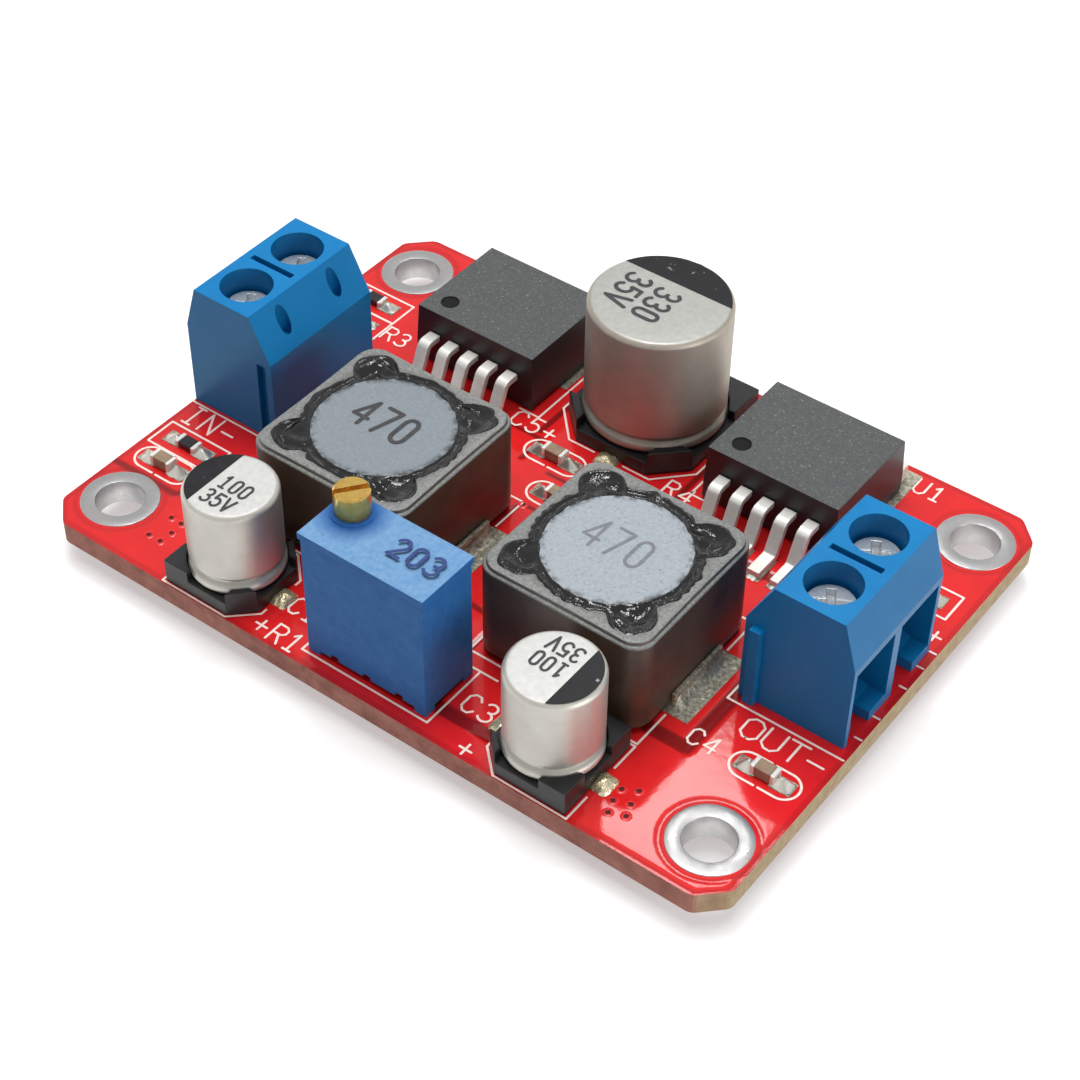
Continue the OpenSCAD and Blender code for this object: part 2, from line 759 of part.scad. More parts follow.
// Electrolytic capacitors: the chamfered corners and the positive lead face +X

module can(d, h) {
    r = d / 2;
    low = pad_t + base_t + joint_gap;
    skirt = 0.07;
    roll = 0.3;
    edge = 0.45;
    waist_z = low + 1;
    waist_w = 0.5;
    waist_depth = 0.24;
    wall = r - skirt;
    color(can_silver)
    rotate_extrude() polygon(concat(
        [[0, low]],
        arc([r - roll, low + roll], roll, -90, 0, 3),
        [[r, waist_z - waist_w / 2]],
        [[r - waist_depth, waist_z - waist_w / 6], [r - waist_depth, waist_z + waist_w / 6]],
        [[wall, waist_z + waist_w / 2]],
        arc([wall - edge, h - edge], edge, 0, 90),
        [[0, h]]
    ));
}

// Plate with chamfered corners on the plus side and a lug in each corner, larger on the minus side
module can_base(d, base) {
    cut = 0.22 * base;
    minus_lug = 0.3 * base;
    strip_slot = strip_w + 2 * joint_gap;
    strip_in = 0.8;
    can_room = 0.05;
    s = base / 2;
    color(mould_black)
    difference() {
        translate([0, 0, pad_t]) linear_extrude(base_t + lug_h)
            polygon([[-s, -s], [s - cut, -s], [s, cut - s], [s, s - cut], [s - cut, s], [-s, s]]);
        translate([0, 0, pad_t + base_t]) cylinder(d = d + 2 * (joint_gap + can_room), h = lug_h + over);
        translate([0, 0, pad_t + base_t])
            linear_extrude(lug_h + over) polygon([
                [-s - over, minus_lug - s], [0, minus_lug - s], [0, cut - s], [s + over, cut - s],
                [s + over, s - cut], [0, s - cut], [0, s - minus_lug], [-s - over, s - minus_lug]
            ]);
        translate([(minus_lug - cut) / 2, 0, 0])
            slab(base - minus_lug - cut, base + 2 * over, pad_t + base_t, lug_h + over);
        for (x = [-1, 1]) translate([x * base / 2, 0, 0])
            slab(base - 2 * strip_in, strip_slot, 0, pad_t + strip_t + joint_gap);
    }
}

module can_leads(base) {
    inner = 0.9;
    color(tin)
    for (x = [-1, 1])
        translate([x * (base / 2 + strip_out + inner) / 2, 0, 0])
            slab(base / 2 + strip_out - inner, strip_w, pad_t, strip_t);
}

// The input capacitor's positive lead faces +X, the output one's -X, the link one's -Y
module at_input_capacitor() { at(-small_dx, front_y) children(); }
module at_link_capacitor() { at(link_x, link_y, -90) children(); }
module at_output_capacitor() { at(small_dx, front_y, 180) children(); }
module input_capacitor_can() { at_input_capacitor() can(small_d, small_h); }
module input_capacitor_base() { at_input_capacitor() can_base(small_d, small_base); }
module input_capacitor_leads() { at_input_capacitor() can_leads(small_base); }
module link_capacitor_can() { at_link_capacitor() can(link_d, link_h); }
module link_capacitor_base() { at_link_capacitor() can_base(link_d, link_base); }
module link_capacitor_leads() { at_link_capacitor() can_leads(link_base); }
module output_capacitor_can() { at_output_capacitor() can(small_d, small_h); }
module output_capacitor_base() { at_output_capacitor() can_base(small_d, small_base); }
module output_capacitor_leads() { at_output_capacitor() can_leads(small_base); }

// Multi-turn trimmer

module at_trimmer() { at(0, front_y) children(); }

module trimmer_housing() {
    top_rim = 0.5;
    foot_l = 0.9;
    notch_w = 0.6;
    notch_h = 0.3;
    body_l = trim_l - 2 * trim_rim;
    body_w = trim_w - 2 * trim_rim;
    color(trimmer_blue)
    at_trimmer() difference() {
        union() {
            slab(body_l, body_w, 0, trim_h - top_rim / 2);
            slab(trim_l, trim_w, trim_h - top_rim, top_rim);
            translate([adjust_x, adjust_y, trim_h - top_rim])
                cylinder(d = collar_d, h = top_rim + collar_h);
        }
        slab(body_l - 2 * foot_l, body_w + over, -over, trim_foot + over);
        slab(body_l + over, body_w - 2 * foot_l, -over, trim_foot + over);
        for (i = [-1:1]) translate([i * trim_pitch, 0, 0])
            slab(notch_w, body_w + over, 0, trim_foot + notch_h);
        slab(2 * trim_half_l, 2 * trim_half_w, -over, trim_h - trim_roof + over);
        translate([adjust_x, adjust_y, trim_h - trim_roof - over])
            cylinder(d = lead_screw_d + 2 * thread_gap, h = trim_roof + collar_h + 2 * over);
    }
}

// Slotted head on a lead screw that runs down through the wiper
module trimmer_screw() {
    slot_w = 0.4;
    slot_depth = 0.6;
    head_z = trim_h + collar_h + joint_gap;
    tip_z = seal_top + wiper_gap;
    slot_turn = 53;
    bevel = 0.12;
    r = adjust_d / 2;
    color(brass)
    at_trimmer() translate([adjust_x, adjust_y, 0]) difference() {
        rotate_extrude() polygon([
            [0, tip_z], [lead_screw_d / 2, tip_z], [lead_screw_d / 2, head_z], [r, head_z],
            [r, head_z + adjust_h - bevel], [r - bevel, head_z + adjust_h], [0, head_z + adjust_h]
        ]);
        rotate([0, 0, slot_turn]) slab(2 * adjust_d, slot_w, head_z + adjust_h - slot_depth, slot_depth + over);
    }
}

// Carriage that the lead screw moves up and down beside the resistance element
module trimmer_wiper() {
    x0 = -trim_half_l + wiper_gap;
    x1 = -1.2;
    y0 = -trim_half_w + element_t + wiper_gap;
    y1 = trim_half_w - wiper_gap;
    color(mould_black)
    at_trimmer() difference() {
        translate([x0, y0, wiper_z - wiper_h / 2]) cube([x1 - x0, y1 - y0, wiper_h]);
        translate([adjust_x, adjust_y, wiper_z - wiper_h / 2 - over])
            cylinder(d = lead_screw_d + 2 * thread_gap, h = wiper_h + 2 * over);
    }
}

module trimmer_element() {
    edge = 0.1;
    low = seal_top;
    high = trim_h - trim_roof - edge;
    color("white")
    at_trimmer() translate([-trim_half_l + edge, -trim_half_w + joint_gap, low])
        cube([2 * (trim_half_l - edge), element_t - joint_gap, high - low]);
}

module trimmer_pins() {
    color(tin)
    at_trimmer_pins() translate([0, 0, -board_top])
        cylinder(d = trim_pin_d, h = board_top + seal_top + wiper_gap);
}

// Potting that closes the housing from below
module trimmer_seal() {
    color(resin)
    at_trimmer() difference() {
        slab(2 * (trim_half_l - joint_gap), 2 * (trim_half_w - joint_gap), seal_low, seal_top - seal_low);
        for (i = [-1:1]) translate([i * trim_pitch, 0, seal_low - over])
            cylinder(d = trim_pin_d + 2 * joint_gap, h = seal_top + 2 * over);
    }
}

// Flat diodes in the lane behind the coils

module diode_body() {
    color(mould_black) moulded_block(diode_l, diode_w, pad_t + strip_t, 1.1, diode_h, 0.15);
}

module diode_leads() {
    foot_in = 1;
    width = 1.45;
    rise = 1.1;
    color(tin)
    for (s = [0, 180]) rotate([0, 0, s]) {
        translate([diode_l / 2 - foot_in, -width / 2, pad_t])
            cube([foot_in + joint_gap + strip_t, width, strip_t]);
        translate([diode_l / 2 + joint_gap, -width / 2, pad_t]) cube([strip_t, width, rise]);
    }
}

module boost_diode_body() { at(coil_in_x, diode_y) diode_body(); }
module boost_diode_leads() { at(coil_in_x, diode_y) diode_leads(); }
module buck_diode_body() { at(coil_out_x, diode_y) diode_body(); }
module buck_diode_leads() { at(coil_out_x, diode_y) diode_leads(); }

// Chip parts

module chip_bodies(places, h) {
    for (p = places) at(p[0], p[1]) slab(chip_l - 2 * chip_end, chip_w, pad_t, h);
}

module chip_ends(places, h) {
    plating = 0.02;
    color(tin)
    for (p = places, s = [-1, 1])
        at(p[0], p[1]) translate([s * (chip_l - chip_end) / 2, 0, 0])
            slab(chip_end, chip_w + 2 * plating, pad_t, h + plating);
}

module chip_capacitor_bodies() { color(ceramic_tan) chip_bodies(chip_caps, chip_cap_h); }
module chip_capacitor_ends() { chip_ends(chip_caps, chip_cap_h); }
module chip_resistor_bodies() { color(mould_black) chip_bodies(chip_resistors, chip_res_h); }
module chip_resistor_ends() { chip_ends(chip_resistors, chip_res_h); }

circuit_board();
hole_plating();
solder_pads();
solder_joints();
input_block_housing();
input_block_contacts();
input_cage_a();
input_cage_b();
input_screw_a();
input_screw_b();
output_block_housing();
output_block_contacts();
output_cage_a();
output_cage_b();
output_screw_a();
output_screw_b();
boost_coil_shield();
boost_coil_core();
boost_coil_winding();
boost_coil_clips();
boost_coil_glue();
buck_coil_shield();
buck_coil_core();
buck_coil_winding();
buck_coil_clips();
buck_coil_glue();
boost_regulator_body();
boost_regulator_leads();
boost_regulator_tab();
buck_regulator_body();
buck_regulator_leads();
buck_regulator_tab();
input_capacitor_can();
input_capacitor_base();
input_capacitor_leads();
link_capacitor_can();
link_capacitor_base();
link_capacitor_leads();
output_capacitor_can();
output_capacitor_base();
output_capacitor_leads();
trimmer_housing();
trimmer_screw();
trimmer_wiper();
trimmer_element();
trimmer_pins();
trimmer_seal();
boost_diode_body();
boost_diode_leads();
buck_diode_body();
buck_diode_leads();
chip_capacitor_bodies();
chip_capacitor_ends();
chip_resistor_bodies();
chip_resistor_ends();
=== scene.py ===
import math

import bmesh
import bpy
import numpy as np
from mathutils import Matrix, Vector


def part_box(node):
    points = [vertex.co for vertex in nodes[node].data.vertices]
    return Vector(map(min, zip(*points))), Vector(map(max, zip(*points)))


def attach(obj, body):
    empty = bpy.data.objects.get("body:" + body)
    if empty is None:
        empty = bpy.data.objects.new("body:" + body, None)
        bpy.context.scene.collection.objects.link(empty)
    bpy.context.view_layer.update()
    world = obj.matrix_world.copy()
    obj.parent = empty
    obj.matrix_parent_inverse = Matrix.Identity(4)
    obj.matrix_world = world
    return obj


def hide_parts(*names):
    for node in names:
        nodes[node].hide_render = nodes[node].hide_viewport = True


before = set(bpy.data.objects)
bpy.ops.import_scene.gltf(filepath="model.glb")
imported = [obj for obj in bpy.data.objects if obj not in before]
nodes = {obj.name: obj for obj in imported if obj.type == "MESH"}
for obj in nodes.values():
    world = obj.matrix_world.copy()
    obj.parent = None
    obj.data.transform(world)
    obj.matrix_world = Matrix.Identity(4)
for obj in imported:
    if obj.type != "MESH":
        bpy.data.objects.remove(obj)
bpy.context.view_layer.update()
scene = bpy.context.scene
stages = ("boost", "buck")
mm = 0.001  # every shape below is worked out in millimetres
print("frame loaded:", len(nodes), "nodes")

# Shared mesh tools

def surface(x, y, z, closeRows=False, closeCols=False):
    # a grid of points, with a quad between neighbouring rows and columns, wrapped round where the grid closes
    points = np.stack(np.broadcast_arrays(x, y, z), -1).astype(float)
    rows, cols, _ = points.shape
    i, j = np.meshgrid(np.arange(rows - (not closeRows)), np.arange(cols - (not closeCols)), indexing="ij")
    i2, j2 = (i + 1) % rows, (j + 1) % cols
    quads = np.stack([i * cols + j, i2 * cols + j, i2 * cols + j2, i * cols + j2], -1)
    return points.reshape(-1, 3), quads.reshape(-1, 4)


def joined(surfaces):
    # several surfaces as one list of points and one of quads
    starts = np.cumsum([0] + [len(points) for points, quads in surfaces[:-1]])
    quads = [quads + start for (points, quads), start in zip(surfaces, starts)]
    return np.concatenate([points for points, _ in surfaces]), np.concatenate(quads)


def boxOf(node):
    # a node's lowest and highest corner in millimetres
    return [np.array(corner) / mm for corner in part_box(node)]


def middleOf(node):
    return np.mean(boxOf(node), axis=0)


def camel(node):
    first, *rest = node.split("_")
    return first + "".join(word.title() for word in rest)


def paint(node, look):
    # a node that keeps its own form takes a finish
    nodes[node].data.materials.clear()
    nodes[node].data.materials.append(look)


def linked(name, data):
    # a new object in the scene
    item = bpy.data.objects.new(name, data)
    scene.collection.objects.link(item)
    return item


def dress(name, mesh, look, body, replaced, crease):
    # puts a finished mesh on a body, with soft shading up to the crease angle
    for each in look if isinstance(look, tuple) else [look]:
        mesh.materials.append(each)
    mesh.polygons.foreach_set("use_smooth", np.ones(len(mesh.polygons), bool))
    mesh.set_sharp_from_angle(angle=math.radians(crease))
    piece = linked(name, mesh)
    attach(piece, body)
    if replaced:
        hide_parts(*replaced)
    return piece


def makePiece(name, surfaces, look, replaced=(), values=None, crease=40, faceLook=None):
    points, quads = joined(surfaces)
    mesh = bpy.data.meshes.new(name)
    mesh.from_pydata((points * mm).tolist(), [], quads.tolist())
    if faceLook is not None:
        mesh.polygons.foreach_set("material_index", faceLook.astype(np.int32))
    for key, value in (values or {}).items():
        layer = mesh.attributes.new(key, "FLOAT", "POINT")
        layer.data.foreach_set("value", np.ravel(value).astype(np.float32))
    shell = bmesh.new()
    shell.from_mesh(mesh)
    bmesh.ops.remove_doubles(shell, verts=shell.verts, dist=1e-6)  # closes seams and poles
    bmesh.ops.dissolve_degenerate(shell, dist=1e-7, edges=shell.edges)
    if replaced:  # what takes a node's place is closed, and faces outwards
        bmesh.ops.recalc_face_normals(shell, faces=shell.faces)
    shell.to_mesh(mesh)
    shell.free()
    dress(name, mesh, look, "module", replaced, crease)


def softCopy(node, width, look, slot, body="module", angle=30):
    # the node's own form with its sharp edges rounded to the given width
    shell = bmesh.new()
    shell.from_mesh(nodes[node].data)
    bmesh.ops.remove_doubles(shell, verts=shell.verts, dist=1e-6)
    bmesh.ops.dissolve_limit(shell, angle_limit=math.radians(0.5), verts=shell.verts, edges=shell.edges)
    mesh = bpy.data.meshes.new(camel(node))
    shell.to_mesh(mesh)
    shell.free()
    for layer in [a for a in mesh.attributes if a.name == "custom_normal"]:
        mesh.attributes.remove(layer)
    mesh.materials.clear()
    piece = dress(camel(node), mesh, look, body, [node], angle)
    bevel = piece.modifiers.new("softEdges", "BEVEL")
    bevel.width = width * mm
    bevel.segments = 2
    bevel.limit_method = "ANGLE"
    bevel.angle_limit = math.radians(angle)
    bevel.harden_normals = True


def lathe(profile, cx, cy, steps):
    # a profile of (radius, height) turned about an upright axis
    radius, height = np.asarray(profile, float).T
    turn = np.linspace(0, 2 * np.pi, steps, endpoint=False)
    return surface(cx + np.outer(radius, np.cos(turn)), cy + np.outer(radius, np.sin(turn)),
                   height[:, None], closeCols=True)


def arcPoints(cx, cy, radius, start, end, count):
    # points on a circle between two angles in degrees
    turn = np.radians(np.linspace(start, end, count))
    return [(cx + radius * math.cos(a), cy + radius * math.sin(a)) for a in turn]


def wobble(turn, waves, amount, seed):
    # a closed wavy line: cosines of whole-number counts with seeded sizes and starts
    rng = np.random.default_rng(seed)
    counts = np.arange(2, 2 + waves)
    sizes = rng.normal(0, 1, waves) / np.sqrt(waves)
    starts = rng.uniform(0, 2 * np.pi, waves).reshape(-1, *[1] * np.ndim(turn))
    return amount * np.tensordot(sizes, np.cos(np.multiply.outer(counts, turn) + starts), 1)


def spun(x, y, degrees):
    # places turned about the origin
    a = math.radians(degrees)
    return x * math.cos(a) - y * math.sin(a), x * math.sin(a) + y * math.cos(a)


def smooth(value):
    # an even step from 0 to 1
    value = np.clip(value, 0, 1)
    return value * value * (3 - 2 * value)


# Shader node groups that several finishes share

def tone(red, green, blue):
    # a colour written in 0 to 255 display values, as the linear colour a shader takes
    share = np.array([red, green, blue]) / 255
    linear = np.where(share <= 0.04045, share / 12.92, ((share + 0.055) / 1.055) ** 2.4)
    return (*linear.tolist(), 1)


def feed(socket, value):
    # joins a socket to another one or sets its constant, a colour in display values
    if isinstance(value, bpy.types.NodeSocket):
        socket.id_data.links.new(value, socket)
    else:
        socket.default_value = tone(*value) if socket.type == "RGBA" else value


def feedAll(sockets, values):
    # several sockets by label, or in their order
    for label, value in values.items() if isinstance(values, dict) else enumerate(values):
        feed(sockets[label], value)


def addNode(tree, kind, inputs=()):
    node = tree.nodes.new("ShaderNode" + kind)
    feedAll(node.inputs, inputs)
    return node.outputs


def addPlace(tree, kind="Object"):
    return addNode(tree, "TexCoord")[kind]


def addPart(tree, kind, axis):
    # one axis of a texture coordinate
    return addNode(tree, "SeparateXYZ", {"Vector": addPlace(tree, kind)})[axis]


def addNoise(tree, vector, scale, detail):
    return addNode(tree, "TexNoise", {"Vector": vector, "Scale": scale, "Detail": detail, "Roughness": 0.6})["Fac"]


def addRange(tree, *values):
    # a value, the range that it comes from and, unless that is 0 to 1, the one it goes to
    return addNode(tree, "MapRange", values)["Result"]


def addMath(tree, operation, *values, kind="Math", result=0):
    node = tree.nodes.new("ShaderNode" + kind)
    node.operation = operation
    feedAll(node.inputs, values)
    return node.outputs[result]


def addMix(tree, factor, *colours):
    # a colour between two, each either a socket or a colour
    mix = tree.nodes.new("ShaderNodeMix")
    mix.data_type = "RGBA"
    feed(mix.inputs["Factor"], factor)
    feedAll([s for s in mix.inputs if s.type == "RGBA"], colours)
    return [s for s in mix.outputs if s.type == "RGBA"][0]


def newGroup(name, inputs, outputs):
    # a node group, with the sockets it is given and those it fills
    group = bpy.data.node_groups.new(name, "ShaderNodeTree")
    for way, sockets in (("INPUT", inputs), ("OUTPUT", outputs)):
        for label, kind in sockets.items():
            group.interface.new_socket(label, in_out=way, socket_type="NodeSocket" + kind)
    return group, group.nodes.new("NodeGroupInput").outputs, group.nodes.new("NodeGroupOutput").inputs


def makeMottle():
    # two tones in soft patches: noise on object coordinates, spread about its middle
    group, given, filled = newGroup(
        "mottle", {"Scale": "Float", "Spread": "Float", "Tone A": "Color", "Tone B": "Color"},
        {"Colour": "Color", "Mask": "Float"})
    noise = addNoise(group, addPlace(group), given["Scale"], 4)
    low, high = [addMath(group, kind, 0.5, given["Spread"]) for kind in ("SUBTRACT", "ADD")]
    mask = addRange(group, noise, low, high)
    feed(filled["Colour"], addMix(group, mask, given["Tone A"], given["Tone B"]))
    feed(filled["Mask"], mask)
    return group


def makeGrain():
    # fine height for a bump: noise on object coordinates, stretched along an axis where one is small
    group, given, filled = newGroup("grain", {"Scale": "Float", "Stretch": "Vector"}, {"Height": "Float"})
    pulled = addMath(group, "MULTIPLY", addPlace(group), given["Stretch"], kind="VectorMath")
    feed(filled["Height"], addNoise(group, pulled, given["Scale"], 3))
    return group


def makeFlecks():
    # small separate specks: fine noise above a high level
    group, given, filled = newGroup("flecks", {"Scale": "Float", "Level": "Float"}, {"Mask": "Float"})
    noise = addNoise(group, addPlace(group), given["Scale"], 2)
    full = addMath(group, "ADD", given["Level"], 0.08)
    feed(filled["Mask"], addRange(group, noise, given["Level"], full))
    return group


groups = {"mottle": makeMottle(), "grain": makeGrain(), "flecks": makeFlecks()}


def addGroup(tree, name, *values):
    # a shared group, with the constants of its inputs in their order
    node = tree.nodes.new("ShaderNodeGroup")
    node.node_tree = groups[name]
    feedAll(node.inputs, values)
    return node.outputs


def addAttribute(tree, name):
    node = tree.nodes.new("ShaderNodeAttribute")
    node.attribute_name = name
    return node.outputs["Fac"]


def skinOf(look):
    # a finish's node tree and the inputs of its shader
    return look.node_tree, look.node_tree.nodes["Principled BSDF"].inputs


def newLook(name):
    look = bpy.data.materials.new(name)
    look.use_nodes = True
    return look


def makeLook(name, toneA, toneB, rough, metal=0, scale=900, spread=0.25, bump=(6000, 4e-6), stretch=(1, 1, 1),
             coat=0, level=0.5, flecks=()):
    # mottled colour, roughness that follows it, bump (scale and depth) and perhaps flecks (tone, scale and level)
    look = newLook(name)
    tree, skin = skinOf(look)
    patch = addGroup(tree, "mottle", scale, spread, toneA, toneB)
    colour = patch["Colour"]
    if flecks:
        speckTone, *speck = flecks
        colour = addMix(tree, addGroup(tree, "flecks", *speck)["Mask"], colour, speckTone)
    height = addGroup(tree, "grain", bump[0], stretch)["Height"]
    normal = addNode(tree, "Bump", {"Strength": 1, "Distance": bump[1], "Height": height})["Normal"]
    feedAll(skin, {
        "Metallic": metal, "Specular IOR Level": level, "Coat Weight": coat, "Coat Roughness": 0.08,
        "Base Color": colour, "Roughness": addRange(tree, patch["Mask"], 0, 1, *rough), "Normal": normal})
    return look


def addMasked(look, factor, colour, rough=None):
    # lays another tone, and roughness, over a finish where a mask says
    tree, skin = skinOf(look)
    under = skin["Base Color"].links[0].from_socket
    feed(skin["Base Color"], addMix(tree, factor, under, colour))
    if rough:
        under = skin["Roughness"].links[0].from_socket
        feed(skin["Roughness"], addRange(tree, factor, 0, 1, under, rough))


def addNear(tree, place, near, far):
    # 1 beside a place on the piece, 0 further away, in millimetres
    place = [value * mm for value in place]
    gap = addMath(tree, "DISTANCE", addPlace(tree), place, kind="VectorMath", result="Value")
    return addRange(tree, gap, near * mm, far * mm, 1, 0)


def addFacing(tree, axis, low, high):
    # 1 where the surface faces along an axis of the object, either way, and 0 across it
    return addRange(tree, addMath(tree, "ABSOLUTE", addPart(tree, "Normal", axis)), low, high)


print("shader groups made:", ", ".join(groups))

# Camera at the photograph's angle, floor and soft studio light

studio = dict(
    place=(0.06412, -0.08791, 0.10653), aim=(36.27, 44, 0.99), lens=76.29,
    floorSize=3, floorSeen=0.62, floorTone=0.36, floorRough=0.9, floorGlow=0.42, floorFade=(50, 200),
    skyLight=0.28, skySeen=1, horizon=(0.15, 0.4), overhead=0.4, white=(255, 255, 255),
)
softboxes = [  # name, place, size, power and whether gloss shows it
    ("overhead", (-0.08, 0.08, 0.6), 0.56, 3.8, False),
    ("glint", (-0.08, 0.1, 0.6), 0.14, 1, True),
    ("rightPanel", (0.55, -0.05, 0.14), 0.3, 1, True),
    ("frontFill", (-0.25, -0.55, 0.35), 0.4, 0.12, True),
    ("backBox", (-0.074, 0.143, 0.227), 0.032, 0.026, True),
]


def addSeen(tree):
    # 1 for rays that show the background: straight from the camera, or by way of metal or glass
    ray = addNode(tree, "LightPath")
    direct, mirrored, through = [ray[f"Is {kind} Ray"] for kind in ("Camera", "Glossy", "Transmission")]
    return addMath(tree, "MAXIMUM", addMath(tree, "MAXIMUM", direct, mirrored), through)


def makeCamera():
    # stands at a bearing from -Y towards +X and a height angle, and is rolled about its own axis
    camera = linked("viewCamera", bpy.data.cameras.new("viewCamera"))
    camera.data.lens = studio["lens"]
    camera.data.clip_start = 0.01
    azimuth, elevation, roll = np.radians(studio["aim"])
    turn = Matrix.Rotation(azimuth, 4, "Z") @ Matrix.Rotation(math.pi / 2 - elevation, 4, "X")
    camera.matrix_world = Matrix.Translation(studio["place"]) @ turn @ Matrix.Rotation(roll, 4, "Z")
    scene.camera = camera


def makeLamp(name, place, size, power, mirrored):
    # a square lamp that faces the part
    lamp = linked(name, bpy.data.lights.new(name, "AREA"))
    lamp.data.size = size
    lamp.data.energy = power
    back = np.array(place) / np.linalg.norm(place)
    right = np.cross([0, 1, 0], back)
    right = right / np.linalg.norm(right)
    axes = np.column_stack([right, np.cross(back, right), back, place])
    lamp.matrix_world = Matrix([*axes.tolist(), (0, 0, 0, 1)])
    lamp.visible_glossy = mirrored


def makeSky():
    # a weak light that is seen as white round the horizon and grey overhead
    scene.world = bpy.data.worlds.new("studioSky")
    scene.world.use_nodes = True
    tree = scene.world.node_tree
    seen = addRange(tree, addPart(tree, "Generated", "Z"), *studio["horizon"], 1, studio["overhead"])
    seen = addMath(tree, "MULTIPLY", addSeen(tree), seen)
    strength = addRange(tree, seen, 0, 1, studio["skyLight"], studio["skySeen"])
    feedAll(tree.nodes["Background"].inputs, {"Color": studio["white"], "Strength": strength})


def makeFloor():
    # grey paper that glows where it is seen, less beside the part, so that the shadow stays
    half = studio["floorSize"] / 2
    mesh = bpy.data.meshes.new("studioFloor")
    mesh.from_pydata([(-half, -half, 0), (half, -half, 0), (half, half, 0), (-half, half, 0)], [], [(0, 1, 2, 3)])
    paper = newLook("studioPaper")
    tree, skin = skinOf(paper)
    seen = addSeen(tree)
    glow = addRange(tree, addNear(tree, (0, 0, 0), *studio["floorFade"]), 0, 1, 1, studio["floorGlow"])
    feedAll(skin, {
        "Base Color": addRange(tree, seen, 0, 1, studio["floorTone"], studio["floorSeen"]),
        "Emission Strength": addMath(tree, "MULTIPLY", seen, glow), "Emission Color": studio["white"],
        "Roughness": studio["floorRough"]})
    mesh.materials.append(paper)
    floor = linked("studioFloor", mesh)


scene.view_settings.view_transform = "Standard"
makeCamera()
for softbox in softboxes:
    makeLamp(*softbox)
makeSky()
makeFloor()
print("studio made")

# Strokes for print: every letter is lines and arcs in a box of this width and height

letterWidth, letterHeight = 62, 100
bowSteps, capSteps = 15, 4
inkLayers, inkStep = 9, 0.0025


def line(x0, y0, x1, y1):
    return np.array([(x0, y0), (x1, y1)], float)


def bow(cx, cy, rx, ry, start, end):
    turn = np.radians(np.linspace(start, end, bowSteps))
    return np.stack([cx + rx * np.cos(turn), cy + ry * np.sin(turn)], 1)


def bent(*points):
    return np.array(points, float)


letters = {
    "I": [line(31, 0, 31, 100), line(12, 100, 50, 100), line(12, 0, 50, 0)],
    "N": [line(3, 0, 3, 100), line(3, 100, 59, 0), line(59, 0, 59, 100)],
    "O": [bent((31, 0), (42, 0), (60, 20), (60, 80), (42, 100), (20, 100), (2, 80), (2, 20), (20, 0), (31, 0))],
    "U": [bent((2, 100), (2, 20), (20, 0), (42, 0), (60, 20), (60, 100))],
    "T": [line(0, 100, 62, 100), line(31, 100, 31, 0)],
    "-": [line(4, 46, 58, 46)],
    "+": [line(2, 45, 60, 45), line(31, 15, 31, 75)],
    "R": [line(3, 0, 3, 100), bent((3, 100), (44, 100), (60, 86), (60, 64), (44, 50), (3, 50)), line(34, 50, 60, 0)],
    "C": [bent((60, 80), (44, 100), (20, 100), (2, 80), (2, 20), (20, 0), (44, 0), (60, 20))],
    "V": [line(0, 100, 31, 0), line(31, 0, 62, 100)],
    "0": [bow(31, 76, 25, 24, 0, 180), bow(31, 24, 25, 24, 180, 360), line(6, 24, 6, 76), line(56, 24, 56, 76)],
    "1": [line(31, 0, 31, 100), line(31, 100, 12, 80), line(12, 0, 50, 0)],
    "2": [bow(31, 72, 27, 28, 165, -38), line(52, 55, 3, 0), line(3, 0, 60, 0)],
    "3": [bow(29, 75, 26, 25, 150, -90), bow(29, 26, 30, 26, 90, -150)],
    "4": [line(46, 0, 46, 100), line(46, 100, 2, 30), line(2, 30, 62, 30)],
    "5": [line(55, 100, 10, 100), line(10, 100, 7, 57), bow(29, 32, 30, 32, 130, -150)],
    "7": [line(2, 100, 60, 100), line(60, 100, 22, 0)],
}


def ribbon(path, width, z):
    # a flat stroke: the path carries a half width that closes in a half circle at each end
    reach = np.sin(np.linspace(0, np.pi / 2, capSteps + 1))[:-1]
    ahead = np.gradient(path, axis=0)
    ahead = ahead / np.linalg.norm(ahead, axis=1)[:, None]
    past = width / 2 * (1 - reach)[:, None]
    centre = np.concatenate([path[0] - ahead[0] * past, path, path[-1] + ahead[-1] * past[::-1]])
    ahead = np.concatenate([np.repeat(ahead[:1], capSteps, 0), ahead, np.repeat(ahead[-1:], capSteps, 0)])
    cap = width / 2 * np.sqrt(1 - (1 - reach) ** 2)
    half = np.concatenate([cap, np.full(len(path), width / 2), cap[::-1]])
    side = np.stack([-ahead[:, 1], ahead[:, 0]], 1) * half[:, None]
    sides = np.stack([centre - side, centre + side], 1)
    return surface(sides[..., 0], sides[..., 1], np.full(sides.shape[:2], z))


def words(text, x, y, height, turn=0, wide=1, gap=24):
    # the strokes of a word whose middle is at x, y and which reads along the turned X axis
    step = letterWidth + gap
    full = step * len(text) - gap
    scale = height / letterHeight
    strokes = []
    for place, letter in enumerate(text):
        for path in letters[letter]:
            flat = (path + [place * step - full / 2, -letterHeight / 2]) * [scale * wide, scale]
            strokes.append(np.stack(spun(*flat.T, turn), 1) + [x, y])
    return strokes


def printed(name, strokes, width, z, look):
    # strokes that cross lie a hair apart in height
    ribbons = [ribbon(path, width, z + inkStep * (order % inkLayers)) for order, path in enumerate(strokes)]
    makePiece(name, ribbons, look)


# Circuit board: red mask over copper, print, plated holes and vias

boardLow, boardHigh = boxOf("circuit_board")
halfLong, halfWide = boardHigh[:2]
boardTop, boardUnder = boardHigh[2], boardLow[2]
holes = [(sx * 23.4, sy * 15.5) for sx in (-1, 1) for sy in (-1, 1)]

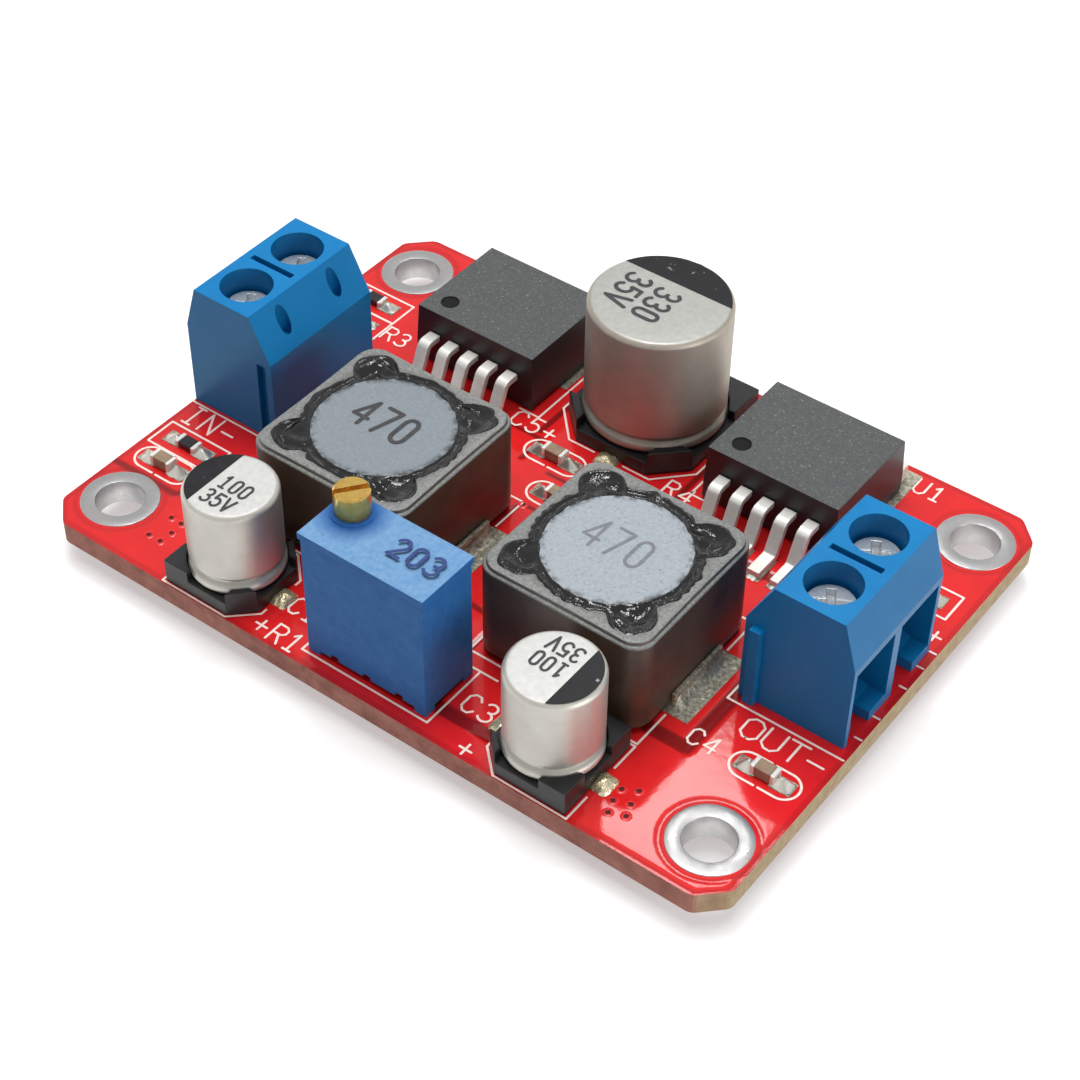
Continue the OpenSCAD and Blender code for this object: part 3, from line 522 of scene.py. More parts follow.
maskLayer = dict(
    step=0.155, lift=0.006, rise=0.03, slope=0.12, rim=0.42, cut=1.7, round=0.8, holeClear=2,
    rimShade=0.66, grooveAt=2.95, groove=0.3, ringFade=0.35,
    overCopper=((220, 34, 34), (196, 28, 32)), overBare=(128, 20, 22), rough=(0.06, 0.11),
    # bare lanes between the copper areas: width and the points of a centre line
    topLanes=[
        (1, [(4, -16.95), (9.3, -16.95), (9.3, -13)]),
        (1, [(15.6, -10.55), (18.4, -10.55), (18.4, -4.2), (17.9, 1.5), (17.9, 4.6), (5, 4.6)]),
        (0.5, [(-26.5, -12.95), (-21, -12.95), (-20.2, -12.1), (-17, -12.1), (-16.4, -11.5), (-16.4, -3.4)]),
        (0.4, [(-16.4, -3.4), (-18.9, -1), (-18.9, 6.3), (-5, 6.3), (-5, 4)]),
        (0.45, [(-5.6, 19), (-5.6, 6.9)]), (0.45, [(5.6, 19), (5.6, 6.9), (7.2, 5.2)]),
        (0.4, [(-2.6, 3.8), (2.8, 3.8), (2.8, 0.4), (-2.2, 0.4)]),
        (0.4, [(-2.3, 0.4), (-2.3, -9), (3.2, -9), (3.2, -12.6)]),
    ],
    underLanes=[
        (0.8, [(-26, 0.1), (-17.5, 0.1), (-15, 3), (-4, 3), (0, -1), (8, -1), (12, 0.1), (26, 0.1)]),
        (0.5, [(-4, 3), (-4, 18.8)]), (0.5, [(0, -1), (0, -11), (-6, -18.5)]), (0.5, [(0, -11), (6.5, -18.5)]),
    ],
)


def laneDistance(x, y, width, points):
    # distance from the edge of a lane of even width along a bent line, below zero inside it
    nearest = np.full(x.shape, 1e3)
    for (x0, y0), (x1, y1) in zip(points, points[1:]):
        dx, dy = x1 - x0, y1 - y0
        along = np.clip(((x - x0) * dx + (y - y0) * dy) / (dx * dx + dy * dy), 0, 1)
        nearest = np.minimum(nearest, np.hypot(x - x0 - along * dx, y - y0 - along * dy))
    return nearest - width / 2


def boardReach(y):
    # half the board's length at a distance from its middle line: full, then an arc, a 45 degree cut and an arc
    cut, r = maskLayer["cut"], maskLayer["round"]
    back = cut + r * math.tan(math.pi / 8)
    bulge = r * math.sin(math.pi / 4)
    first, last = halfWide - back, halfWide - r
    arcs = [np.sqrt(np.clip(r * r - (y - start) ** 2, 0, None)) for start in (first, last)]
    return np.select([y < first, y < first + bulge, y < last + bulge],
                     [halfLong, halfLong - r + arcs[0], halfLong + halfWide - cut - y], halfLong - back + arcs[1])


def makeMask(name, level, way, lanes, look):
    # one side of the board: rows narrow at the cut corners, and the mask stands higher over copper
    s = maskLayer
    cols, rows = [int(round(2 * half / s["step"])) + 1 for half in (halfLong, halfWide)]
    y = np.linspace(-halfWide, halfWide, rows)[:, None]
    reach = boardReach(np.abs(y))
    x = np.linspace(-1, 1, cols) * reach
    y = np.broadcast_to(y, x.shape)
    border = np.minimum(reach - np.abs(x), halfWide - np.abs(y)) - s["rim"]
    inside = np.min([laneDistance(x, y, width, points) for width, points in lanes], axis=0)
    away = np.min([np.hypot(x - hx, y - hy) for hx, hy in holes], axis=0)
    ring = smooth(np.abs(away - s["grooveAt"]) / s["groove"])  # a soft groove round each hole
    copper = np.minimum(smooth(np.minimum(inside, border) / s["slope"] + 0.5), ring)
    shade = np.minimum(smooth(inside / s["slope"] + 0.5), np.where(border > 0, 1, s["rimShade"]))
    shade = shade * (1 - s["ringFade"] * (1 - ring))
    points, quads = surface(x, y, level + way * (s["lift"] + s["rise"] * copper))
    quads = quads[away.reshape(-1)[quads].min(1) > s["holeClear"]]
    makePiece(name, [(points, quads[:, ::-way])], look, values={"copper": shade})


# dark where the mask lies on bare laminate
maskLook = makeLook("redMask", *maskLayer["overCopper"], maskLayer["rough"], scale=420, spread=0.35, bump=(1500, 6e-6))
tree = maskLook.node_tree
addMasked(maskLook, addRange(tree, addAttribute(tree, "copper"), 1, 0), maskLayer["overBare"])

# walls of pressed glass cloth in resin, the walls facing along X painted paler tan as the lit side and the others
# brownish as the shaded side, red mask on the two flat sides
boardLook = makeLook(
    "boardLaminate", (202, 134, 116), (138, 84, 74), (0.55, 0.8), spread=0.3, bump=(1400, 4e-5), stretch=(1, 1, 7))
tree = boardLook.node_tree
# painted light: a paler tan for the walls that face along X, either way
litEndWalls = addGroup(tree, "mottle", 1500, 0.25, (206, 184, 146), (172, 146, 110))
addMasked(boardLook, addFacing(tree, "X", 0.5, 0.8), litEndWalls["Colour"])
addMasked(boardLook, addFacing(tree, "Z", 0.5, 0.6), (190, 28, 32), 0.3)
paint("circuit_board", boardLook)
makeMask("topMask", boardTop, 1, maskLayer["topLanes"], maskLook)
makeMask("underMask", boardUnder, -1, maskLayer["underLanes"], maskLook)

inkLook = makeLook("whiteInk", (240, 226, 218), (232, 200, 192), (0.45, 0.6), scale=1500, spread=0.3)
blackInk = makeLook("blackInk", (38, 38, 40), (62, 62, 66), (0.4, 0.55), scale=3000, spread=0.3)

silk = dict(
    stroke=0.16, thin=0.15, lift=0.05, inset=0.12,
    chipCap=(4.7, 2.1), chipBreak=0.16, chipResistor=(2.65, 1.2),
    # room beside, before and behind the larger parts, half of the breaks for their leads, and cut corners
    coil=(0.2, 0.17, 0.17), coilBreak=3.4, can=(0.2, 0.2, 0.2), canCut=1.65, canBreak=1.4,
    linkPath=[(5.55, 5.4), (5.55, -2.95), (3.3, -5.35), (1.2, -5.35)],
    trimmer=(0.2, 0.16, 0.25), trimmerTail=1.3, block=(0.25, 0.3, 0.3),
    ticks=(5.15, 3.6, 1.5, -1.62, -3.73), tickEnds=(25.95, 26.4),
    regulator=(0.75, 0.2, 2), regulatorFoot=1.65, regulatorReach=10,
    words=[
        ("IN-", -23.75, -6.4, 1.8), ("+R1", -7, -18.35, 1.5), ("C3", 6.8, -15.6, 1.5), ("C5+", -6.2, 7.1, 1.5),
        ("R4", 5.4, 7.6, 1.4), ("R3", -19.8, 8.7, 1.4), ("U1", 18.55, 17.95, 1.4), ("+", 25.55, 6.55, 1.5),
        ("+", 8.1, -18.6, 1.5), ("C1", -7, -15.8, 1.4), ("+", -25.2, 6.5, 1.5), ("C4", 18.95, -9.5, 1.3),
        ("OUT-", 23, -6.95, 1.65, 0, 1.22, 12),
    ],
)


def chain(*points):
    # straight strokes from each point to the next
    return [line(*a, *b) for a, b in zip(points, points[1:])]


def frameLines(x0, y0, x1, y1):
    return chain((x0, y0), (x1, y0), (x1, y1), (x0, y1), (x0, y0))


def stadium(cx, cy, long, wide):
    # an outline with round ends round a chip
    r = wide / 2
    half = long / 2 - r
    strokes = [bow(cx + half, cy, r, r, -90, 90), bow(cx - half, cy, r, r, 90, 270)]
    for y in (cy - r, cy + r):
        strokes += [line(cx + way * half, y, cx + way * silk["chipBreak"], y) for way in (-1, 1)]
    return strokes


chipCaps = [(-23.4, -11.33), (-3.15, 5.3), (-0.5, 2.05), (23.3, -9.53)]
chipResistors = [(-23.4, -8.93), (-23.65, 8.48), (-23.65, 10.93), (22.7, 9.33)]


def silkStrokes():
    strokes = []
    for word in silk["words"]:
        strokes += words(*word)
    for x, y in chipCaps:
        strokes += stadium(x, y, *silk["chipCap"])
    halfX, halfY = silk["chipResistor"]
    for x, y in chipResistors:
        strokes += frameLines(x - halfX, y - halfY, x + halfX, y + halfY)
    return strokes


def around(node, beside, before, behind):
    # a node's outline from above, with room on every side
    low, high = boxOf(node)
    return low[0] - beside, low[1] - before, high[0] + beside, high[1] + behind


def outlineStrokes():
    # the places of the larger parts, drawn just outside each and kept inside the board's edge
    s = silk
    strokes = []
    front = s["inset"] - halfWide
    for name in stages:
        x0, y0, x1, y1 = around(f"{name}_coil_shield", *s["coil"])
        cy = middleOf(f"{name}_coil_shield")[1]
        for x in (x0, x1):
            strokes += [line(x, y0, x, cy - s["coilBreak"]), line(x, cy + s["coilBreak"], x, y1)]
        strokes += [line(x0, y, x1, y) for y in (y0, y1)]
    for node, way in (("input_capacitor_base", 1), ("output_capacitor_base", -1)):
        x0, y0, x1, y1 = around(node, *s["can"])
        (back, fore), cut = (x0, x1)[::way], s["canCut"]
        for y, side in ((y0, -1), (y1, 1)):
            rim, start = max(y, front), middleOf(node)[1] + side * s["canBreak"]
            strokes += chain((back, start), (back, rim), (fore - way * cut, rim), (fore, y - side * cut), (fore, start))
    cx, cy, _ = middleOf("link_capacitor_base")
    for side in (-1, 1):
        strokes += chain(*[(cx + side * x, cy + y) for x, y in s["linkPath"]])
    x0, y0, x1, y1 = around("trimmer_housing", *s["trimmer"])
    strokes += frameLines(x0, max(y0, front), x1, y1) + [line(x1, y1, x1 + s["trimmerTail"], y1)]
    for node, way in (("input_block_housing", -1), ("output_block_housing", 1)):
        x0, y0, x1, y1 = around(node, *s["block"])
        inner, outer = x0 if way > 0 else x1, way * (halfLong - s["inset"])
        strokes += [line(inner, y0, outer, y0), line(inner, y0, inner, y1)]
        start, end = [way * x for x in s["tickEnds"]]
        strokes += [line(start, y, end, y) for y in s["ticks"]]
    for name in stages:
        x0, y0, x1, y1 = around(f"{name}_regulator_body", *s["regulator"])
        foot, reach = s["regulatorFoot"], s["regulatorReach"]
        strokes += [line(x, y0, x, y1) for x in (x0, x1) if abs(x) < reach]
        strokes += [line(x, y0, end, y0) for x, end in ((x0, x0 + foot), (x1, x1 - foot)) if x > -reach]
    return strokes


printed("silkWords", silkStrokes(), silk["stroke"], boardTop + silk["lift"], inkLook)
printed("silkOutlines", outlineStrokes(), silk["thin"], boardTop + silk["lift"], inkLook)
print("board mask and print made")

platedHoles = dict(bore=1.65, outer=2.65, wall=0.1, thick=0.1, round=0.05, steps=72, roundSteps=4)
tinLook = makeLook(
    "tinnedCopper", (214, 212, 210), (186, 186, 188), (0.24, 0.42), metal=1, scale=700, bump=(1800, 1.2e-5))


def makeRings():
    # a barrel through the board with a round-edged flange on each side, turned about each hole
    s = platedHoles
    top, under = boardTop + s["thick"], boardUnder - s["thick"]
    r = s["round"]
    right, left = s["outer"] - r, s["bore"] + r
    profile = [(s["outer"], boardTop)]
    for x, z, start in ((right, top - r, 0), (left, top - r, 90), (left, under + r, 180), (right, under + r, 270)):
        profile += arcPoints(x, z, r, start, start + 90, s["roundSteps"])
    wall = s["bore"] + s["wall"]
    profile += [(s["outer"], boardUnder), (wall, boardUnder), (wall, boardTop), (s["outer"], boardTop)]
    rings = [lathe(profile, x, y, s["steps"]) for x, y in holes]
    makePiece("holeRings", rings, tinLook, replaced=["hole_plating"])


makeRings()
vias = dict(
    hole=0.16, rim=0.38, bulge=0.035, start=0.3, lip=0.015, over=0.002, steps=20, rows=7,
    dark=(70, 8, 10), rough=(0.2, 0.3), darkRough=0.7,
    places=[(-19.5, -14.75), (-18.6, -14.8), (-18.5, -15.8), (-19.55, -16.8), (-18.55, -16.8), (-2.07, 0.35),
            (17.2, -15.5), (18.1, -15), (17.3, -16.5), (18.3, -16.1), (17.6, -17.4), (18.6, -17)],
    fields=[(x + 1.5 * k, y) for k in range(3) for x in (-13.8, 10.4) for y in (13, 15)],
)


def makeVias():
    # a small ring whose height follows a sine across it, with its middle painted dark as the shade of the open hole, on
    # both sides of the board
    s = vias
    r = np.array([0, s["hole"], *np.linspace(s["hole"] + s["lip"], s["rim"], s["rows"])])
    across = np.clip((r - s["hole"]) / (s["rim"] - s["hole"]), 0, 1)
    bulge = s["bulge"] * np.sin(np.pi * (s["start"] + (1 - s["start"]) * across)) * (r > s["hole"])
    rise = maskLayer["lift"] + maskLayer["rise"] + bulge + s["over"]
    rings = []
    for level, way in ((boardTop, 1), (boardUnder, -1)):
        for x, y in s["places"] + s["fields"]:
            points, quads = lathe(np.stack([r, level + way * rise], 1), x, y, s["steps"])
            rings.append((points, quads[:, ::way]))
    dark = np.tile(np.repeat(r < s["hole"] + s["lip"] / 2, s["steps"]), len(rings))
    look = makeLook("viaMask", *maskLayer["overCopper"], s["rough"])
    # painted shade: the hole's middle is a flat disc in the dark tone, not an opening
    addMasked(look, addAttribute(look.node_tree, "hole"), s["dark"], s["darkRough"])
    makePiece("vias", rings, look, values={"hole": dark})


makeVias()

# Solder on pads, lead toes and chip ends

solderLook = makeLook(
    "brightSolder", (234, 232, 224), (204, 200, 188), (0.22, 0.38), metal=0.85, scale=1200, spread=0.3,
    bump=(1600, 2.5e-5))
giltLook = makeLook(
    "fluxedSolder", (250, 240, 206), (214, 194, 142), (0.14, 0.28), metal=0.75, scale=1400, spread=0.2,
    bump=(1900, 1.5e-4))
padLook = makeLook(
    "solderedPad", (196, 192, 176), (128, 124, 108), (0.35, 0.55), metal=0.7, scale=3600, spread=0.14,
    bump=(3200, 9e-5))
paint("solder_pads", padLook)
paint("solder_joints", solderLook)
solder = dict(
    base=0.06, sink=0.05, taper=6, edgeWaves=(5, 0.05), slope=2.2, wavesPerMm=0.8, mostWaves=6,
    crown=1.5, ripple=(0.02, 0.012), moundSteps=(36, 10), filletSteps=(40, 9),
    # mounds: half sizes, height, how square the base is and how hollow the slope
    chipCap=(0.8, 0.56, 0.62, 3, 1.3), chipResistor=(0.8, 0.56, 0.42, 3, 1.3), lead=(0.48, 1.15, 0.42, 4, 1.2),
    can=(0.68, 0.82, 0.5, 4, 0.65), turnedCan=(0.82, 0.68, 0.5, 4, 0.65),
    chipOut=1.16, leadPitch=1.7, leadAt=4.75, canOut=0.45,
    # fillets: height and reach
    clip=(0.7, 0.75), diode=(0.6, 0.7), tab=(0.8, 0.6),
)
solderBase = boardTop + solder["base"]


def mound(cx, cy, hx, hy, height, square, hollow, seed):
    # a blob on a rounded base: height falls from the middle to the edge as a power of the distance left
    turns, rows = solder["moundSteps"]
    turn = np.linspace(0, 2 * np.pi, turns, endpoint=False)
    rho = np.linspace(0, 1, rows)[:, None]
    edge = (np.abs(np.cos(turn)) ** square + np.abs(np.sin(turn)) ** square) ** (-1 / square)
    edge = edge * (1 + wobble(turn, *solder["edgeWaves"], seed))
    x, y = cx + hx * rho * edge * np.cos(turn), cy + hy * rho * edge * np.sin(turn)
    return surface(x, y, solderBase + height * (1 - rho ** solder["crown"]) ** hollow, closeCols=True)


def fillet(start, end, out, height, reach, seed):
    # solder along an upright face: a hollow slope that thins out at both ends of the line
    s = solder
    rows, cols = s["filletSteps"]
    along = np.linspace(0, 1, rows)[:, None]
    across = np.linspace(0, 1, cols)
    near, far = [np.sin(np.pi * np.clip(share * s["taper"], 0, 0.5)) for share in (along, 1 - along)]
    waves = int(np.clip(math.dist(start, end) * s["wavesPerMm"], 1, s["mostWaves"]))
    least, perWave = s["ripple"]
    ripple = 1 + wobble(2 * np.pi * along, waves, least + perWave * waves, seed)
    off = across * reach * ripple - s["sink"]
    x, y = [start[k] + (end[k] - start[k]) * along + out[k] * off for k in range(2)]
    return surface(x, y, solderBase + height * near * far * ripple * (1 - across) ** s["slope"])


def makeSolder():
    s = solder
    blobs, gilt, clips = [], [], []
    for spots, form in ((chipCaps, s["chipCap"]), (chipResistors, s["chipResistor"])):
        for x, y in spots:
            seed = 3 + len(blobs)
            blobs += [mound(x + side * s["chipOut"], y, *form, seed) for side in (-1, 1)]
    for name in stages:
        cx = middleOf(f"{name}_regulator_body")[0]
        blobs += [mound(cx + k * s["leadPitch"], s["leadAt"], *s["lead"], 40 + k) for k in range(-2, 3)]
    for name, form, axis in (("input", "can", 0), ("output", "can", 0), ("link", "turnedCan", 1)):
        node = f"{name}_capacitor_base"
        low, high = boxOf(node)
        for side in (-1, 1):
            spot = middleOf(node)[:2]
            spot[axis] += side * ((high - low)[0] / 2 + s["canOut"])
            gilt.append(mound(*spot, *s[form], 60 + len(blobs) + len(gilt)))
    for name in stages:
        low, high = boxOf(f"{name}_coil_clips")
        dLow, dHigh = boxOf(f"{name}_diode_leads")
        for side, x, dx in ((-1, low[0], dLow[0]), (1, high[0], dHigh[0])):
            clips.append(fillet((x, low[1]), (x, high[1]), (side, 0), *s["clip"], 80 + len(clips)))
            blobs.append(fillet((dx, dLow[1]), (dx, dHigh[1]), (side, 0), *s["diode"], 90 + len(blobs)))
        tLow, tHigh = boxOf(f"{name}_regulator_tab")
        blobs.append(fillet((tLow[0], tHigh[1]), (tHigh[0], tHigh[1]), (0, 1), *s["tab"], 70 + len(blobs)))
    makePiece("solderBlobs", blobs, solderLook)
    makePiece("capacitorSolder", gilt, giltLook)
    makePiece("clipSolder", clips, padLook)


makeSolder()
print("holes, vias and solder made")

# Terminal blocks

terminal = dict(crease=14, edge=0.14, contactEdge=0.06, cageEdge=0.08, screwEdge=0.06)
blueLook = makeLook(
    "terminalBlue", (18, 120, 178), (10, 106, 164), (0.28, 0.4), scale=260, spread=0.35, bump=(2600, 5e-6), level=0.2)
screwLook = makeLook(
    "zincScrew", (238, 240, 240), (208, 211, 213), (0.2, 0.36), metal=0.75, scale=1600, spread=0.3, bump=(3000, 1.2e-5))
cageLook = makeLook("zincCage", (206, 208, 210), (168, 172, 176), (0.25, 0.42), metal=1)
contactLook = makeLook("tinnedContact", (206, 202, 194), (176, 170, 160), (0.25, 0.42), metal=1)
for end in ("input", "output"):
    softCopy(f"{end}_block_housing", terminal["edge"], blueLook, "terminal_blue", angle=terminal["crease"])
    softCopy(f"{end}_block_contacts", terminal["contactEdge"], contactLook, "contact_tin")
    for way in "ab":
        softCopy(f"{end}_cage_{way}", terminal["cageEdge"], cageLook, "cage_steel", f"{end}_cage_{way}")
        softCopy(f"{end}_screw_{way}", terminal["screwEdge"], screwLook, "screw_steel", f"{end}_screw_{way}")
print("terminal blocks made")

# Coils: ground ferrite shield and drum, glossy glue between them

coil = dict(
    side=12.3, corner=1.4, bore=5.25, drum=4.75, flange=1.5, post=2.5, pocketAt=3.9, pocket=1.45,
    steps=288, drumSteps=128, foot=0.2, lip=0.08, throat=1.5, drumFoot=0.1, drumEdge=0.12,
    drumArc=(20, 90, 4), clipEdge=0.06,
    # the shield's stepped rim: in from its side, down from its top and the share of bare stone, kept low on the step
    # under the top edge to paint the shade in that step
    rim=[(0, 0.42, 0), (0.03, 0.34, 0.7), (0.1, 0.28, 1), (0.2, 0.25, 1), (0.24, 0.2, 0.15), (0.26, 0.08, 0.2),
         (0.3, 0.02, 1), (0.36, 0, 1)],
    # as shares of the drum's radius: rings on its top, and where the glue's smear starts and how wide it is
    rings=(0.95, 0.9, 0.85, 0.8, 0.6, 0.3), smear=(0.88, 0.12), smearDown=0.2,
)
glue = dict(
    # distance past the drum or the bore, then count and size of the waves of each edge
    inner=(0.04, 22, 0.07), outer=(0.1, 26, 0.16),
    rows=25, lift=0.004, film=0.06, filmEdge=0.16, sag=0.1, poolSag=0.22, pool=(0.5, 1.6), sagPower=0.6, lumpPower=0.5,
    # lumps: waves round the ring, size, step of the seed and half waves across the film
    lumps=[(20, 0.13, 5, 2), (26, 0.1, 6, 3)], ringLump=0.2, under=0.9, gaps=(0.06, 0.03),
)
coilTurn = np.linspace(0, 2 * np.pi, coil["steps"], endpoint=False)


def shieldEdge():
    # distance from the axis to a square with round corners, for every angle
    c, s = np.abs(np.cos(coilTurn)), np.abs(np.sin(coilTurn))
    half, r = coil["side"] / 2, coil["corner"]
    flat = half / np.maximum(c, s)
    along = (half - r) * (c + s)
    corner = along + np.sqrt(np.clip(along ** 2 - 2 * (half - r) ** 2 + r ** 2, 0, None))
    return np.where(flat * np.minimum(c, s) > half - r, corner, flat)


def openingEdge():
    # distance from the axis to the rim of the bore or, at the corners, of a round pocket
    away = coil["pocketAt"] * math.sqrt(2)
    off = np.mod(coilTurn, np.pi / 2) - np.pi / 4
    inside = coil["pocket"] ** 2 - (away * np.sin(off)) ** 2
    return np.where(inside > 0, np.maximum(coil["bore"], away * np.cos(off) + np.sqrt(np.clip(inside, 0, None))),
                    coil["bore"])


def ringSurface(rows, cx, cy):
    # rows of (distance from the axis, height), each a number or one value per angle
    r = np.stack([np.broadcast_to(radius, coilTurn.shape) for radius, _ in rows])
    z = np.stack([np.broadcast_to(height, coilTurn.shape) for _, height in rows])
    return surface(cx + r * np.cos(coilTurn), cy + r * np.sin(coilTurn), z, closeRows=True, closeCols=True)


shieldLook = makeLook(
    "ferriteShield", (78, 60, 46), (50, 38, 31), (0.3, 0.42), scale=500, spread=0.3, bump=(2200, 8e-6))
tree = shieldLook.node_tree
stone = addGroup(tree, "mottle", 5600, 0.2, (138, 140, 137), (94, 96, 95))
# the ground stone where the attribute says, which also leaves the rim's step dark as painted shade
addMasked(shieldLook, addAttribute(tree, "groundAndStepShade"), stone["Colour"], 0.42)


def makeCoreLook(name, *tones):
    look = makeLook(f"{name}Ferrite", *tones, (0.45, 0.6), scale=5200, spread=0.2, bump=(7000, 1e-5),
                    flecks=((120, 126, 131), 6500, 0.61))
    tree = look.node_tree
    edge = addMath(tree, "MULTIPLY", addGroup(tree, "mottle", 1700, 0.08)["Mask"], addAttribute(tree, "rim"))
    addMasked(look, edge, (26, 26, 27), 0.3)
    return look


# one ferrite in two copies: the buck coil's drum is painted paler than the boost coil's, as painted sheen
litAndShadedCoreLooks = {"boost": makeCoreLook("boost", (126, 135, 140), (112, 121, 127)),
             "buck": makeCoreLook("buck", (157, 164, 170), (141, 149, 156))}
glueLook = makeLook("blackGlue", (14, 14, 15), (8, 8, 9), (0.03, 0.09), scale=600, bump=(1300, 1.2e-4), coat=0.25)
wireLook = makeLook("enamelWire", (176, 96, 48), (140, 70, 32), (0.25, 0.35), metal=1)


def makeShield(name, cx, cy, low, top, hole):
    # a closed ring: outer wall, stepped rim, flat top and bore
    out, foot, lip = shieldEdge(), coil["foot"], coil["lip"]
    flat = (out - coil["rim"][-1][0] + hole + lip) / 2
    rows = [(out - foot, low, 0), (out, low + foot, 0)]
    rows += [(out - away, top - down, share) for away, down, share in coil["rim"]]
    rows += [(flat, top, 1), (hole + lip, top, 0.5), (hole, top - lip, 0.1), (hole, top - coil["throat"], 0),
             (hole, low, 0)]
    groundAndStepShade = np.repeat([share for *_, share in rows], coil["steps"])
    node = f"{name}_coil_shield"
    makePiece(camel(node), [ringSurface([row[:2] for row in rows], cx, cy)], shieldLook,
              replaced=[node], values={"groundAndStepShade": groundAndStepShade}, crease=30)


def makeCore(name, cx, cy, low, top):
    # a drum turned about its axis: two flanges on a post
    drum, post, foot, edge = coil["drum"], coil["post"], coil["drumFoot"], coil["drumEdge"]
    inner, outer = low + coil["flange"], top - coil["flange"]
    profile = [(0, low), (drum - foot, low), (drum, low + foot), (drum, inner), (post, inner), (post, outer),
               (drum, outer), (drum, top - edge), *arcPoints(drum - edge, top - edge, edge, *coil["drumArc"]),
               *[(drum * share, top) for share in coil["rings"]], (0, top)]
    radius, height = np.array(profile).T
    start, width = coil["smear"]
    rim = np.where(height > top - coil["smearDown"], smooth((radius / drum - start) / width), 0)
    makePiece(f"{name}CoilCore", [lathe(profile, cx, cy, coil["drumSteps"])], litAndShadedCoreLooks[name],
              replaced=[f"{name}_coil_core"], values={"rim": np.repeat(rim, coil["drumSteps"])})


def makeGlue(name, cx, cy, top, hole, seed):
    # a film between ragged edges on the drum and the shield, that sags, deepest in the pockets, and has seeded lumps
    s, drum = glue, coil["drum"]
    (gapIn, *wavesIn), (gapOut, *wavesOut) = s["inner"], s["outer"]
    inner = drum - gapIn - np.abs(wobble(coilTurn, *wavesIn, seed))
    outer = hole + gapOut + np.abs(wobble(coilTurn, *wavesOut, seed + 1))
    past, width = s["pool"]
    pool = np.clip((hole - drum - past) / width, 0, 1)  # 0 along the ring, 1 in the pockets
    depth = s["sag"] + s["poolSag"] * pool
    lumps = [(wobble(coilTurn, waves, size, seed + step), halves) for waves, size, step, halves in s["lumps"]]
    rows = []
    for share in np.linspace(0, 1, s["rows"]):
        r = inner + (outer - inner) * share
        between = np.sin(np.pi * np.clip((r - drum) / (hole - drum), 0, 1))
        lump = sum(wave * math.sin(halves * math.pi * share) for wave, halves in lumps)
        lump = lump * (s["ringLump"] + (1 - s["ringLump"]) * pool)
        film = s["film"] * math.sqrt(min(1, share / s["filmEdge"], (1 - share) / s["filmEdge"]))
        bend = lump * between ** s["lumpPower"]
        rows.append((r, top + s["lift"] + film - depth * between ** s["sagPower"] + bend))
    rows += [(edge, top - s["under"]) for edge in (hole - s["gaps"][0], drum + s["gaps"][1])]
    makePiece(f"{name}CoilGlue", [ringSurface(rows, cx, cy)], glueLook,
              replaced=[f"{name}_coil_glue"], crease=70)


def makeCoil(name, seed):
    node = f"{name}_coil_shield"
    cx, cy, _ = middleOf(node)
    low, top = [corner[2] for corner in boxOf(node)]
    hole = openingEdge()
    makeShield(name, cx, cy, low, top, hole)
    makeCore(name, cx, cy, low, top)
    makeGlue(name, cx, cy, top, hole, seed)
    softCopy(f"{name}_coil_clips", coil["clipEdge"], padLook, "lead_tin")
    paint(f"{name}_coil_winding", wireLook)


coilMark = dict(text="470", height=2.4, wide=0.78, strokes=(0.33, 0.23), off=(-0.25, 0.4), lift=0.006)
greyInk = makeLook("greyInk", (122, 126, 130), (96, 100, 104), (0.45, 0.6), scale=3000, spread=0.3)
for order, name in enumerate(stages):
    makeCoil(name, 21 + 40 * order)
    spot = middleOf(f"{name}_coil_core")[:2] + coilMark["off"]
    printed(f"{name}CoilMark", words(coilMark["text"], *spot, coilMark["height"], 0, coilMark["wide"]),
            coilMark["strokes"][order], boxOf(f"{name}_coil_core")[1][2] + coilMark["lift"], (blackInk, greyInk)[order])
print("coils made")

# Regulators and diodes: grainy grey on top, near-black on the drafted sides, partly their plainer finish and partly
# painted shade

mouldLook = makeLook(
    "mouldGrey", (78, 80, 80), (62, 64, 65), (0.5, 0.66), scale=3800, bump=(5200, 1.4e-5),
    flecks=((118, 120, 120), 6000, 0.62))
# the sides, which face across Z, painted near-black: partly the plain moulded finish and partly painted shade beside
# the lit top
addMasked(mouldLook, addFacing(mouldLook.node_tree, "Z", 0.8, 0.5), (30, 30, 31), 0.4)
dotLook = makeLook("mouldDot", (24, 24, 25), (32, 32, 33), (0.6, 0.75), scale=2500, level=0.12)
dot = dict(radius=0.63, inset=1.7, sunk=0.09, lip=0.01, steps=32)
mouldEdges = {"regulator_body": 0.1, "regulator_leads": 0.06, "regulator_tab": 0.08, "diode_body": 0.1,
              "diode_leads": 0.05}
leadLook = makeLook(
    "tinLead", (240, 238, 232), (222, 219, 212), (0.32, 0.45), metal=0.45, scale=1400, bump=(2200, 1e-5))
for name in stages:
    for part, edge in mouldEdges.items():
        finish = (mouldLook, "mould_grey") if part.endswith("body") else (leadLook, "lead_tin")
        softCopy(f"{name}_{part}", edge, *finish)
    low, high = boxOf(f"{name}_regulator_body")
    floor, r = high[2] - dot["sunk"], dot["radius"]
    profile = [(0, floor), (r, floor), (r, high[2] - dot["lip"])]
    makePiece(f"{name}RegulatorDot", [lathe(profile, *(low[:2] + dot["inset"]), dot["steps"])], dotLook)
print("regulators and diodes made")

# Capacitors: drawn can with a rolled waist, printed top, moulded base

